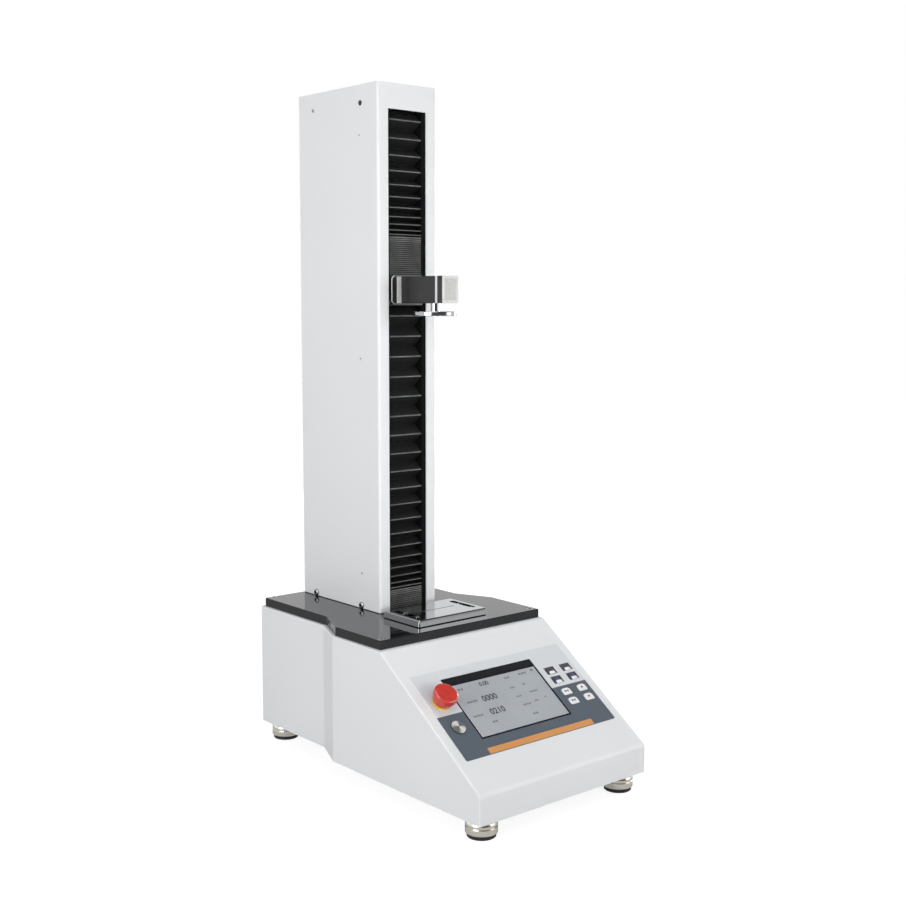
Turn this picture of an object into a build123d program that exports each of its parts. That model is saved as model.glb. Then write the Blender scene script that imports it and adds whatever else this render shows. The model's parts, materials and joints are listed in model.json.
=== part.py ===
from build123d import *
import os
from math import atan2, cos, pi, sin

# Single-column motorised force tester: a sloped base with a control panel, a black
# top plate, and a column whose crosshead rides up and down behind pleated covers.
# Millimetres. Origin on the floor at the middle of the footprint, +Z up, the control
# panel faces -Y, +X is on the right of a person who faces the panel.

# Base housing: welded sheet, wide in front and narrow behind
FRONT_WIDTH = 290.0
JOG_STEP = 24.0
JOG_AHEAD = 18.5
JOG_RUN = 54.0
BASE_TOP = 196.0
APRON_TOP = 61.0
PANEL_RUN = 192.5
SHEET = 2.0
BEND_R = 8.0
REAR_BEND_R = 3.0
CORNER_R = 1.8
TOP_FLANGE = 22.0
REAR_WRAP = 10.0
SEAM = 0.3
BOTTOM_T = 3.0

# Feet
FOOT_HEIGHT = 24.0
FOOT_D = 40.0
FOOT_EDGE_R = 1.5
FOOT_WAIST_D = 37.0
FOOT_WAIST_H = 1.6
FOOT_CAP_H = 9.0
PAD_D = 36.0
PAD_T = 7.0
PAD_SEAT = 2.0
PAD_EDGE = 1.0
FOOT_INSET = 25.0

# Top plate with its corner posts and screws
PLATE_T = 12.0
PLATE_INSET = 5.0
PLATE_EDGE = 0.8
DECK_FRONT = 64.0
POST_D = 14.0
POST_SIDE_INSET = 13.0
POST_REAR_SIDE_INSET = 17.5
POST_END_INSET = 9.0
PLATE_SCREW_D = 6.0
PLATE_SCREW_LENGTH = 34.0
SCREW_HEAD_D = 10.0
SCREW_HEAD_H = 6.0
SOCKET_D = 5.0
SOCKET_DEPTH = 3.0
HOLE_CLEARANCE = 0.3
OVERCUT = 1.0

# Column covers
THROAT = 59.0
COLUMN_WIDTH = 100.0
COLUMN_DEPTH = 186.0
COLUMN_REAR_GAP = 9.5
COLUMN_TOP = 929.0
COVER_SHEET = 2.0
COVER_EDGE_R = 4.0
WINDOW_WIDTH = 66.0
WINDOW_DROP = 34.0
LOUVRE_COUNT = 7
LOUVRE_PITCH = 14.0
LOUVRE_H = 5.0
LOUVRE_SIDE = 22.0
LOUVRE_BOTTOM = 60.0

# Column frame and linear guides
WEB_T = 10.0
FRAME_SIDE_GAP = 4.0
FRAME_REAR_GAP = 7.0
FRAME_WALL = 10.0
FRAME_TOP_GAP = 14.0
FRAME_FOOT_T = 14.0
FRAME_FOOT_RUN = 26.0
FRAME_FOOT_GAP = 14.0
RAIL_W = 15.0
RAIL_H = 15.0
RAIL_WAIST = 2.0
RAIL_END_GAP = 20.0
GUIDE_W = 34.0
GUIDE_LENGTH = 40.0
GUIDE_PITCH = 46.0
GUIDE_RISE = 24.0
GUIDE_LIFT = 4.3
RUNNING_GAP = 0.3
FIT_GAP = 0.1

# Screw drive
SCREW_D = 16.0
JOURNAL_D = 12.0
BEARING_H = 30.0
BEARING_W = 56.0
BEARING_DEPTH = 48.0
BEARING_CHAMFER = 6.0
BEARING_FRONT_GAP = 18.0
UPPER_BEARING_SIDE_GAP = 1.5
UPPER_BEARING_H = 22.0
UPPER_BEARING_GAP = 26.0
SHAFT_HOLE_GAP = 4.0
NUT_D = 28.0
NUT_FLANGE_D = 46.0
NUT_FLANGE_T = 9.0
NUT_FLATS = 34.0
BELT_PITCH = 5.0
SCREW_TEETH = 40
MOTOR_TEETH = 20
PULLEY_FLANGE_LIP = 2.5
PULLEY_FLANGE_T = 1.5
BELT_WIDTH = 15.0
BELT_T = 2.4
BELT_SIDE_GAP = 1.0
PULLEY_TOP_GAP = 24.0
DRIVE_CENTRES = 84.0
MOTOR_SIZE = 60.0
MOTOR_FLOOR_GAP = 21.0
MOTOR_EDGE_R = 6.0
MOTOR_BOSS_D = 50.0
MOTOR_BOSS_H = 3.0
MOTOR_SHAFT_D = 14.0
MOTOR_SHAFT_ROOT = 20.0
BRACKET_T = 6.0
BRACKET_SIDE = 22.0
BRACKET_END = 10.0
BRACKET_DROP = 50.0
STANDOFF_D = 12.0
STANDOFF_INSET = 7.0

# Crosshead: its place in the photograph and the folds left at both ends of its stroke
CROSSHEAD_DROP = 275.0
UPPER_PACKED = 75.0
LOWER_PACKED = 70.0
CROSSHEAD_H = 42.0
FACE_SIDE_GAP = 4.2
FACE_EDGE_GAP = 1.5
FACE_T = 5.0
FACE_CHAMFER = 4.0
FACE_PROUD = 1.5
CARRIAGE_PLATE_T = 14.0
CARRIAGE_PLATE_H = 92.0
RIB_T = 8.0
RIB_RUN = 14.0
FLAG_W = 6.0
FLAG_REACH = 8.0

# Load arm, cell and upper platen
ARM_WIDTH = 27.0
ARM_H = 36.0
ARM_WALL = 4.0
ARM_NOSE = 16.0
ARM_EDGE_R = 1.0
ARM_FLANGE_T = 1.5
ARM_FLANGE_SIDE = 6.5
SPACER_T = 4.5
END_BLOCK_T = 10.0
FRONT_PLATE_T = 1.5
CELL_SIDE_GAP = 0.5
CELL_H = 25.0
CELL_REAR_WALL = 3.0
CELL_SEAT = 20.0
CELL_RELIEF = 1.0
CELL_TIP_GAP = 3.0
CELL_EYE_D = 13.0
CELL_EYE_PITCH = 16.0
STEM_D = 12.0
STEM_DROP = 11.0
STEM_ROOT = 8.0
PLATEN_D = 58.0
PLATEN_T = 6.0
PLATEN_EDGE = 0.8

# Lower test table
TABLE_WIDTH = 120.5
TABLE_DEPTH = 78.0
TABLE_T = 10.0
TABLE_EDGE = 1.6
TABLE_FOOT_EDGE = 1.2
TABLE_CORNER = 2.5
SLOT_SIDE = 11.25
SLOT_END = 15.0
SLOT_WIDTH = 6.6
SLOT_HEAD_WIDTH = 9.0
SLOT_HEAD_DEPTH = 6.5
GROOVE_SIDE = 26.25
GROOVE_WIDTH = 2.0
GROOVE_DEPTH = 1.0

# Pleated covers and their side guides
FOLDS = 30
DENSE_PITCH = 2.7
UPPER_OPEN_FOLDS = 11
LOWER_OPEN_FOLDS = 19
UPPER_SPREAD = 1.0
LOWER_SPREAD = 2.2
PLEAT_SIDE_GAP = 5.5
PLEAT_DEPTH = 14.0
PLEAT_SHEET = 2.0
PLEAT_GAP = 0.3
PLEAT_SETBACK = 5.0
CHANNEL_W = 5.0
CHANNEL_DEPTH = 17.0
CHANNEL_LIP = 2.0
CHANNEL_LIP_OUT = 1.0
CHANNEL_GAP = 1.0
CHANNEL_SETBACK = 4.0

# Control panel: distances in from the edges of its printed overlay, which lies on the
# slope below the slope's top edge
OVERLAY_SIDE = 15.0
OVERLAY_TOP = 49.5
OVERLAY_T = 1.0
OVERLAY_CORNER = 2.0
SCREEN_HEAD = 14.0
SCREEN_HEIGHT = 98.5
SCREEN_FOOT = 23.5
SCREEN_LEFT_INSET = 41.7
SCREEN_RIGHT_INSET = 62.1
SCREEN_RECESS = 0.4
SCREEN_FRAME = 6.0
SCREEN_MODULE_T = 12.0
CONTROL_INSET = 20.0
ESTOP_FALL = 47.5
ESTOP_NECK_D = 16.0
ESTOP_BODY_D = 20.0
ESTOP_BODY_LENGTH = 36.0
ESTOP_COLLAR_D = 24.0
ESTOP_COLLAR_T = 2.0
ESTOP_COLLAR_R = 1.0
ESTOP_STEM_D = 10.0
ESTOP_HEAD_D = 32.0
ESTOP_HEAD_H = 13.0
ESTOP_SKIRT = 6.0
ESTOP_LIP = 2.0
ESTOP_TRAVEL = 4.0
ESTOP_STOP_GAP = 0.4
BUTTON_PITCH = 40.4
BUTTON_NECK_D = 16.0
BUTTON_BEZEL_D = 19.0
BUTTON_BEZEL_H = 2.0
BUTTON_CAP_D = 14.0
BUTTON_CAP_PROUD = 0.8
BUTTON_TRAVEL = 2.5
BUTTON_BODY_LENGTH = 30.0
BUTTON_EDGE = 0.6
KEY_W = 15.0
KEY_H = 10.5
KEY_CORNER = 2.0
KEY_PROUD = 0.8
KEY_TAIL = 1.0
KEY_TRAVEL = 0.5
KEY_STOP_GAP = 0.3
KEY_INSET = 14.6
KEY_COLUMN_PITCH = 28.8
KEY_FALL = 40.8
KEY_ROW_PITCH = 16.2
KEY_BANK_PITCH = 36.8
BOARD_T = 1.6
BOARD_MARGIN = 4.5
SPACER_D = 5.0
DOME_D = 6.0
DOME_H = 0.8

# Electrics inside the base and on its back
SUPPLY_LENGTH = 110.0
SUPPLY_H = 38.0
SUPPLY_EDGE = 2.0
SUPPLY_WALL_GAP = 14.0
SUPPLY_CENTRE_GAP = 9.0
SUPPLY_REAR_GAP = 21.5
PCB_LENGTH = 120.0
PCB_WALL_GAP = 18.0
PCB_CENTRE_GAP = 17.0
PCB_REAR_GAP = 18.5
PCB_LIFT = 8.0
SINK_WIDTH = 22.0
SINK_LENGTH = 30.0
SINK_H = 12.0
INLET_WIDTH = 50.0
INLET_HEIGHT = 58.0
INLET_FLANGE_T = 2.0
INLET_LIP = 5.0
INLET_BODY_DEPTH = 24.0
INLET_SIDE = 59.0
INLET_RISE = 68.0
SOCKET_WIDTH = 24.0
SOCKET_HEIGHT = 16.5
SOCKET_CHAMFER = 4.0
SOCKET_RECESS = 16.0
SOCKET_DROP = 13.0
BLADE_W = 2.0
BLADE_H = 4.0
BLADE_LENGTH = 9.0
BLADE_PITCH = 7.0
ROCKER_WIDTH = 20.0
ROCKER_HEIGHT = 13.0
ROCKER_RISE = 14.0
ROCKER_REACH = 6.0
ROCKER_DISH = 1.0
ROCKER_TILT = 8.0
ROCKER_GAP = 0.8
VENT_PITCH = 9.0
VENT_WIDTH = 4.0
VENT_HEIGHT = 40.0
VENT_SIDE = 73.0
VENT_MARGIN = 36.0
VENT_RISE = 86.0
SWITCH_W = 12.0
SWITCH_DEPTH = 13.0
SWITCH_H = 20.0
SWITCH_MARGIN = 6.0

# Plan, from the front of the base to its back
BASE_DEPTH = PANEL_RUN + DECK_FRONT + THROAT + COLUMN_DEPTH + COLUMN_REAR_GAP
FRONT_Y = -(BASE_DEPTH + INLET_FLANGE_T) / 2
REAR_Y = FRONT_Y + BASE_DEPTH
SLOPE_TOP_Y = FRONT_Y + PANEL_RUN
LOAD_Y = SLOPE_TOP_Y + DECK_FRONT
COLUMN_FRONT_Y = LOAD_Y + THROAT
COLUMN_REAR_Y = COLUMN_FRONT_Y + COLUMN_DEPTH
JOG_FRONT_Y = COLUMN_FRONT_Y - JOG_AHEAD
JOG_REAR_Y = JOG_FRONT_Y + JOG_RUN
REAR_WIDTH = FRONT_WIDTH - 2 * JOG_STEP
PANEL_ANGLE = atan2(BASE_TOP - APRON_TOP, PANEL_RUN)
PANEL = Plane(
    origin=(0, SLOPE_TOP_Y, BASE_TOP),
    x_dir=(1, 0, 0),
    z_dir=(0, -sin(PANEL_ANGLE), cos(PANEL_ANGLE)),
)
FOOT_PLACES = [
    (side * (width / 2 - FOOT_INSET), y)
    for side in (-1, 1)
    for width, y in ((FRONT_WIDTH, FRONT_Y + FOOT_INSET), (REAR_WIDTH, REAR_Y - FOOT_INSET))
]
POST_PLACES = [
    (side * (width / 2 - inset), y)
    for side in (-1, 1)
    for width, inset, y in (
        (FRONT_WIDTH, POST_SIDE_INSET, SLOPE_TOP_Y + POST_END_INSET + PLATE_INSET),
        (REAR_WIDTH, POST_REAR_SIDE_INSET, REAR_Y - POST_END_INSET),
    )
]

# Heights
BOTTOM_TOP = FOOT_HEIGHT + BOTTOM_T
PLATE_TOP = BASE_TOP + PLATE_T
TABLE_TOP = PLATE_TOP + TABLE_T
WINDOW_TOP = COLUMN_TOP - WINDOW_DROP
FRAME_TOP = COLUMN_TOP - FRAME_TOP_GAP
CROSSHEAD_Z = COLUMN_TOP - CROSSHEAD_DROP
CROSSHEAD_BOTTOM = CROSSHEAD_Z - CROSSHEAD_H / 2
CROSSHEAD_TOP = CROSSHEAD_Z + CROSSHEAD_H / 2
TRAVEL_UP = WINDOW_TOP - UPPER_PACKED - CROSSHEAD_TOP
TRAVEL_DOWN = CROSSHEAD_BOTTOM - LOWER_PACKED - PLATE_TOP
LOWER_BEARING_TOP = PLATE_TOP + BEARING_H
UPPER_BEARING_BOTTOM = COLUMN_TOP - UPPER_BEARING_GAP - UPPER_BEARING_H
PULLEY_TOP = BASE_TOP - PULLEY_TOP_GAP
PULLEY_H = BELT_WIDTH + 2 * (BELT_SIDE_GAP + PULLEY_FLANGE_T)
PULLEY_BOTTOM = PULLEY_TOP - PULLEY_H
BRACKET_TOP = BASE_TOP - BRACKET_DROP
BRACKET_BOTTOM = BRACKET_TOP - BRACKET_T
MOTOR_BOTTOM = BOTTOM_TOP + MOTOR_FLOOR_GAP
ARM_BOTTOM = CROSSHEAD_Z - ARM_H / 2
ARM_TOP = CROSSHEAD_Z + ARM_H / 2
CELL_TOP = ARM_TOP - ARM_WALL
PLATEN_TOP = ARM_BOTTOM - STEM_DROP
PLATEN_BOTTOM = PLATEN_TOP - PLATEN_T

# Inside the column, from the window to the back
PLEAT_WIDTH = WINDOW_WIDTH - 2 * PLEAT_SIDE_GAP
PLEAT_RIDGE_Y = COLUMN_FRONT_Y + PLEAT_SETBACK
PLEAT_VALLEY_Y = PLEAT_RIDGE_Y + PLEAT_DEPTH
SCREW_Y = PLEAT_VALLEY_Y + PLEAT_SHEET + BEARING_FRONT_GAP + BEARING_DEPTH / 2
WEB_Y = SCREW_Y + BEARING_DEPTH / 2 + FRAME_FOOT_GAP + FRAME_FOOT_RUN
FRAME_WIDTH = COLUMN_WIDTH - 2 * (COVER_SHEET + FRAME_SIDE_GAP)
FRAME_REAR_Y = COLUMN_REAR_Y - COVER_SHEET - FRAME_REAR_GAP
RAIL_SPACING = FRAME_WIDTH - GUIDE_W
UPPER_BEARING_W = RAIL_SPACING - RAIL_W - 2 * UPPER_BEARING_SIDE_GAP
GUIDE_FACE_Y = WEB_Y - GUIDE_RISE
CARRIAGE_PLATE_Y = GUIDE_FACE_Y - CARRIAGE_PLATE_T
SCREW_PULLEY_R = BELT_PITCH * SCREW_TEETH / (2 * pi)
MOTOR_PULLEY_R = BELT_PITCH * MOTOR_TEETH / (2 * pi)
MOTOR_Y = SCREW_Y - DRIVE_CENTRES

# Crosshead face and arm
FACE_FRONT_Y = COLUMN_FRONT_Y - FACE_PROUD
CARRIAGE_FRONT_Y = FACE_FRONT_Y + FACE_T
FACE_WIDTH = WINDOW_WIDTH - 2 * FACE_SIDE_GAP
FACE_H = CROSSHEAD_H - 2 * FACE_EDGE_GAP
ARM_ROOT_Y = FACE_FRONT_Y - ARM_FLANGE_T
ARM_NOSE_Y = LOAD_Y - ARM_NOSE
ARM_INNER_HALF = ARM_WIDTH / 2 - ARM_WALL
CELL_WIDTH = 2 * (ARM_INNER_HALF - CELL_SIDE_GAP)
CELL_FRONT_Y = ARM_NOSE_Y + ARM_WALL + CELL_TIP_GAP
CELL_REAR_Y = ARM_ROOT_Y - CELL_REAR_WALL

# Panel layout: X across, and the distance down the slope
OVERLAY_HALF = FRONT_WIDTH / 2 - OVERLAY_SIDE
SCREEN_TOP = OVERLAY_TOP + SCREEN_HEAD
SCREEN_BOTTOM = SCREEN_TOP + SCREEN_HEIGHT
OVERLAY_BOTTOM = SCREEN_BOTTOM + SCREEN_FOOT
SCREEN_LEFT = -OVERLAY_HALF + SCREEN_LEFT_INSET
SCREEN_RIGHT = OVERLAY_HALF - SCREEN_RIGHT_INSET
CONTROL_X = -OVERLAY_HALF + CONTROL_INSET
ESTOP_DOWN = OVERLAY_TOP + ESTOP_FALL
ESTOP_HEAD_BOTTOM = OVERLAY_T + ESTOP_COLLAR_T + ESTOP_TRAVEL + ESTOP_STOP_GAP
BUTTON_DOWN = ESTOP_DOWN + BUTTON_PITCH
KEY_BOTTOM = -SHEET - KEY_TAIL
KEY_COLUMNS = [OVERLAY_HALF - KEY_INSET - KEY_COLUMN_PITCH, OVERLAY_HALF - KEY_INSET]
KEY_ROWS = [
    OVERLAY_TOP + KEY_FALL + bank * KEY_BANK_PITCH + row * KEY_ROW_PITCH
    for bank in (0, 1)
    for row in (0, 1)
]

# Back of the base
INLET_X = -(REAR_WIDTH / 2 - INLET_SIDE)
INLET_Z = FOOT_HEIGHT + INLET_RISE
ROCKER_Z = INLET_Z + ROCKER_RISE
ROCKER_PIVOT = (INLET_X, REAR_Y - ROCKER_REACH / 2, ROCKER_Z)
VENT_X = REAR_WIDTH / 2 - VENT_SIDE
VENT_Z = FOOT_HEIGHT + VENT_RISE
VENT_COUNT = int((REAR_WIDTH / 2 - VENT_MARGIN) / VENT_PITCH)


# Small helpers
def block(x, y, z):
    """Box between three pairs of low and high values."""
    centre = Pos((x[0] + x[1]) / 2, (y[0] + y[1]) / 2, (z[0] + z[1]) / 2)
    return centre * Box(x[1] - x[0], y[1] - y[0], z[1] - z[0])


def rod(diameter, z, at=(0.0, 0.0)):
    """Upright cylinder between two heights."""
    upright = (Align.CENTER, Align.CENTER, Align.MIN)
    return Pos(at[0], at[1], z[0]) * Cylinder(diameter / 2, z[1] - z[0], align=upright)


def on_panel(x, down, out=0.0):
    """Place on the sloped panel, with local Z pointing out of it."""
    return PANEL.location * Pos(x, -down, out)


def panel_rod(diameter, out, x, down):
    """Cylinder square to the panel, between two heights above its skin."""
    upright = (Align.CENTER, Align.CENTER, Align.MIN)
    return on_panel(x, down, out[0]) * Cylinder(diameter / 2, out[1] - out[0], align=upright)


def panel_block(x, down, out, corner=0.0):
    """Box square to the panel, with rounded corners in the panel's plane."""
    face = Rectangle(x[1] - x[0], down[1] - down[0])
    if corner > 0:
        face = fillet(face.vertices(), corner)
    place = on_panel((x[0] + x[1]) / 2, (down[0] + down[1]) / 2, out[0])
    return place * extrude(face, amount=out[1] - out[0])


def side_prism(points, x):
    """Prism along X with an outline of (y, z) points."""
    outline = Plane.YZ * make_face(Polyline(*points, close=True))
    return Pos(x[0], 0, 0) * extrude(outline, amount=x[1] - x[0], dir=(1, 0, 0))


def group(solids):
    """Separate solids that share one node."""
    return Compound(solids)


# Base housing
def base_outline(inset=0.0):
    """Plan of the base, moved in from the skin, running out past the square front."""
    right = [
        (REAR_WIDTH / 2, REAR_Y),
        (REAR_WIDTH / 2, JOG_REAR_Y),
        (FRONT_WIDTH / 2, JOG_FRONT_Y),
        (FRONT_WIDTH / 2, FRONT_Y - TOP_FLANGE - SHEET),
    ]
    left = [(-x, y) for x, y in reversed(right)]
    outline = make_face(Polyline(*right, *left, close=True))
    if inset > 0:
        outline = offset(outline, amount=-inset, kind=Kind.INTERSECTION)
    rear = [v for v in outline.vertices() if v.Y > (JOG_REAR_Y + REAR_Y) / 2]
    outline = fillet(rear, max(REAR_BEND_R - inset, SHEET / 2))
    bends = [v for v in outline.vertices() if SLOPE_TOP_Y < v.Y < (JOG_REAR_Y + REAR_Y) / 2]
    return fillet(bends, max(BEND_R - inset, SHEET))


def side_profile(inset=0.0):
    """Side view of the base as a block across its width, open below when moved in."""
    bottom = FOOT_HEIGHT - 2 * inset
    outline = make_face(
        Polyline(
            (REAR_Y + BEND_R, bottom),
            (REAR_Y + BEND_R, BASE_TOP),
            (SLOPE_TOP_Y, BASE_TOP),
            (FRONT_Y, APRON_TOP),
            (FRONT_Y, bottom),
            close=True,
        )
    )
    bends = [v for v in outline.vertices() if v.X < SLOPE_TOP_Y + SHEET and v.Y > APRON_TOP - SHEET]
    outline = fillet(bends, BEND_R)
    if inset > 0:
        outline = offset(outline, amount=-inset, kind=Kind.INTERSECTION)
    return extrude(Plane.YZ * outline, amount=FRONT_WIDTH, both=True)


def base_skin():
    """The whole folded skin, with a ledge round its top, before it is parted."""
    outer = extrude(base_outline(), amount=BASE_TOP + SHEET) & side_profile()
    corners = [e for e in outer.edges().filter_by(Axis.Z) if e.center().Y < FRONT_Y + SHEET]
    outer = fillet(corners, CORNER_R)
    inner = extrude(base_outline(SHEET), amount=BASE_TOP + SHEET) & side_profile(SHEET)
    mouth = extrude(base_outline(TOP_FLANGE), amount=BASE_TOP + SHEET)
    behind = (SLOPE_TOP_Y + TOP_FLANGE, REAR_Y)
    mouth = mouth & block((-FRONT_WIDTH, FRONT_WIDTH), behind, (0, BASE_TOP + SHEET))
    holes = [
        rod(PLATE_SCREW_D + 2 * HOLE_CLEARANCE, (BASE_TOP - 2 * SHEET, BASE_TOP + SHEET), at)
        for at in POST_PLACES
    ]
    return outer - inner - mouth - holes


def front_zone():
    """Space of the bent panel, welded between the sides: apron, slope and front ledge."""
    half = FRONT_WIDTH / 2 - SHEET
    return block((-half, half), (FRONT_Y, SLOPE_TOP_Y + TOP_FLANGE), (0, BASE_TOP))


def rear_zone(margin=0.0):
    """Space of the back panel with its ledge."""
    half = REAR_WIDTH / 2 - REAR_WRAP + margin
    return block((-half, half), (REAR_Y - TOP_FLANGE - margin, REAR_Y), (0, BASE_TOP))


def side_panel(skin, side):
    """One flank of the skin with the bent jog and the wrapped rear edge."""
    reach = sorted((0.0, side * FRONT_WIDTH))
    half = block(reach, (FRONT_Y, REAR_Y), (0, BASE_TOP))
    return (skin - front_zone() - rear_zone(SEAM)) & half


def screen_opening(margin, out):
    """Rectangle of the screen, grown by a margin."""
    return panel_block(
        (SCREEN_LEFT - margin, SCREEN_RIGHT + margin),
        (SCREEN_TOP - margin, SCREEN_BOTTOM + margin),
        out,
    )


def key_shape(column, row, margin, out):
    """Key outline, grown by a margin."""
    x = KEY_COLUMNS[column]
    down = KEY_ROWS[row]
    return panel_block(
        (x - KEY_W / 2 - margin, x + KEY_W / 2 + margin),
        (down - KEY_H / 2 - margin, down + KEY_H / 2 + margin),
        out,
        KEY_CORNER + margin,
    )


def panel_openings(out):
    """Everything that passes through the overlay and the sloped skin."""
    cuts = [screen_opening(SEAM, out)]
    cuts.append(panel_rod(ESTOP_NECK_D + 2 * HOLE_CLEARANCE, out, CONTROL_X, ESTOP_DOWN))
    cuts.append(panel_rod(BUTTON_NECK_D + 2 * HOLE_CLEARANCE, out, CONTROL_X, BUTTON_DOWN))
    for column in range(len(KEY_COLUMNS)):
        for row in range(len(KEY_ROWS)):
            cuts.append(key_shape(column, row, RUNNING_GAP, out))
    return cuts


def front_panel(skin):
    """Apron and slope in one bent sheet, with the control openings."""
    return (skin & front_zone()) - panel_openings((-2 * SHEET, SHEET))


def rear_panel(skin):
    """Back sheet with the power opening and the vent slots."""
    back = skin & rear_zone()
    through = (REAR_Y - 2 * SHEET, REAR_Y + SHEET)
    half_w = INLET_WIDTH / 2 - INLET_LIP + HOLE_CLEARANCE
    half_h = INLET_HEIGHT / 2 - INLET_LIP + HOLE_CLEARANCE
    cuts = [block((INLET_X - half_w, INLET_X + half_w), through, (INLET_Z - half_h, INLET_Z + half_h))]
    for index in range(VENT_COUNT):
        x = VENT_X + (index - (VENT_COUNT - 1) / 2) * VENT_PITCH
        slot = SlotCenterToCenter(VENT_HEIGHT - VENT_WIDTH, VENT_WIDTH, rotation=90)
        place = Plane(origin=(x, through[0], VENT_Z), x_dir=(1, 0, 0), z_dir=(0, 1, 0))
        cuts.append(extrude(place * slot, amount=through[1] - through[0]))
    return back - cuts


def bottom_plate():
    """Floor of the base, which carries the feet and the electrics."""
    plate = Pos(0, 0, FOOT_HEIGHT) * extrude(base_outline(SHEET + SEAM), amount=BOTTOM_T)
    keep = (FRONT_Y + SHEET + SEAM, REAR_Y)
    return plate & block((-FRONT_WIDTH, FRONT_WIDTH), keep, (FOOT_HEIGHT, BOTTOM_TOP))


# Feet
def foot(at):
    """Turned foot with a waist and a recess for its pad."""
    body = rod(FOOT_D, (PAD_T - PAD_SEAT, FOOT_HEIGHT), at)
    body = fillet(body.edges().filter_by(GeomType.CIRCLE), FOOT_EDGE_R)
    waist_top = FOOT_HEIGHT - FOOT_CAP_H
    waist_z = (waist_top - FOOT_WAIST_H, waist_top)
    waist = rod(FOOT_D + OVERCUT, waist_z, at) - rod(FOOT_WAIST_D, waist_z, at)
    recess = rod(PAD_D + 2 * FIT_GAP, (0, PAD_T), at)
    return body - waist - recess


def foot_pad(at):
    """Rubber pad seated in the foot."""
    pad = rod(PAD_D, (0, PAD_T), at)
    return chamfer(pad.edges().group_by(Axis.Z)[0], PAD_EDGE)


# Top plate
def base_plate():
    """Glossy plate that follows the plan of the base, with counterbored corners."""
    plate = Pos(0, 0, BASE_TOP) * extrude(base_outline(PLATE_INSET), amount=PLATE_T)
    keep = (SLOPE_TOP_Y + PLATE_INSET, REAR_Y)
    plate = plate & block((-FRONT_WIDTH, FRONT_WIDTH), keep, (BASE_TOP, PLATE_TOP))
    plate = chamfer(plate.faces().sort_by(Axis.Z)[-1].edges(), PLATE_EDGE)
    head_z = (PLATE_TOP - SCREW_HEAD_H, PLATE_TOP + OVERCUT)
    cuts = [rod(JOURNAL_D + SHAFT_HOLE_GAP, (BASE_TOP - OVERCUT, PLATE_TOP + OVERCUT), (0, SCREW_Y))]
    for at in POST_PLACES:
        cuts.append(rod(SCREW_HEAD_D + 2 * HOLE_CLEARANCE, head_z, at))
        cuts.append(rod(PLATE_SCREW_D + 2 * HOLE_CLEARANCE, (BASE_TOP - OVERCUT, PLATE_TOP), at))
    return plate - cuts


def base_post(at):
    """Post between the bottom plate and the ledge, drilled for the plate screw."""
    top = BASE_TOP - SHEET
    hole = rod(PLATE_SCREW_D + 2 * FIT_GAP, (top - PLATE_SCREW_LENGTH, top + OVERCUT), at)
    return rod(POST_D, (BOTTOM_TOP, top), at) - hole


def plate_screw(at):
    """Socket screw sunk in the top plate."""
    seat = PLATE_TOP - SCREW_HEAD_H
    screw = rod(PLATE_SCREW_D, (seat - PLATE_SCREW_LENGTH + SCREW_HEAD_H, seat), at)
    screw += rod(SCREW_HEAD_D, (seat, PLATE_TOP - PLATE_EDGE), at)
    socket = Pos(at[0], at[1], PLATE_TOP - PLATE_EDGE - SOCKET_DEPTH)
    return screw - socket * extrude(RegularPolygon(SOCKET_D / 2, 6), amount=SOCKET_DEPTH)


# Column
def column_cover():
    """Three-sided sheet cover with a closed top and the crosshead window."""
    half = COLUMN_WIDTH / 2
    outer = block((-half, half), (COLUMN_FRONT_Y, COLUMN_REAR_Y), (PLATE_TOP, COLUMN_TOP))
    front = outer.edges().filter_by(Axis.Z).sort_by(Axis.Y)[:2]
    outer = fillet(front, COVER_EDGE_R)
    inner_x = (-half + COVER_SHEET, half - COVER_SHEET)
    inner_y = (COLUMN_FRONT_Y + COVER_SHEET, COLUMN_REAR_Y + OVERCUT)
    inner = block(inner_x, inner_y, (PLATE_TOP - OVERCUT, COLUMN_TOP - COVER_SHEET))
    window_x = (-WINDOW_WIDTH / 2, WINDOW_WIDTH / 2)
    window_y = (COLUMN_FRONT_Y - OVERCUT, COLUMN_FRONT_Y + 2 * COVER_SHEET)
    return outer - inner - block(window_x, window_y, (PLATE_TOP - OVERCUT, WINDOW_TOP))


def column_rear_cover():
    """Flat back sheet inside the cover's edges, with louvre slots."""
    half = COLUMN_WIDTH / 2 - COVER_SHEET - SEAM
    sheet_y = (COLUMN_REAR_Y - COVER_SHEET, COLUMN_REAR_Y)
    sheet_z = (PLATE_TOP + SEAM, COLUMN_TOP - COVER_SHEET - SEAM)
    cuts = []
    for index in range(LOUVRE_COUNT):
        z = PLATE_TOP + LOUVRE_BOTTOM + index * LOUVRE_PITCH
        slot = SlotOverall(COLUMN_WIDTH - 2 * LOUVRE_SIDE, LOUVRE_H)
        place = Plane(origin=(0, sheet_y[0] - OVERCUT, z), x_dir=(1, 0, 0), z_dir=(0, 1, 0))
        cuts.append(extrude(place * slot, amount=COVER_SHEET + 2 * OVERCUT))
    return block((-half, half), sheet_y, sheet_z) - cuts


def column_frame():
    """Extruded channel that carries the guides, on a foot bolted to the top plate."""
    half = FRAME_WIDTH / 2
    height = (PLATE_TOP, FRAME_TOP)
    web = block((-half, half), (WEB_Y, WEB_Y + WEB_T), height)
    walls = [
        block(sorted((side * half, side * (half - FRAME_WALL))), (WEB_Y, FRAME_REAR_Y), height)
        for side in (-1, 1)
    ]
    base_y = (WEB_Y - FRAME_FOOT_RUN, FRAME_REAR_Y)
    base = block((-half, half), base_y, (PLATE_TOP, PLATE_TOP + FRAME_FOOT_T))
    return web + walls + base


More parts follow.
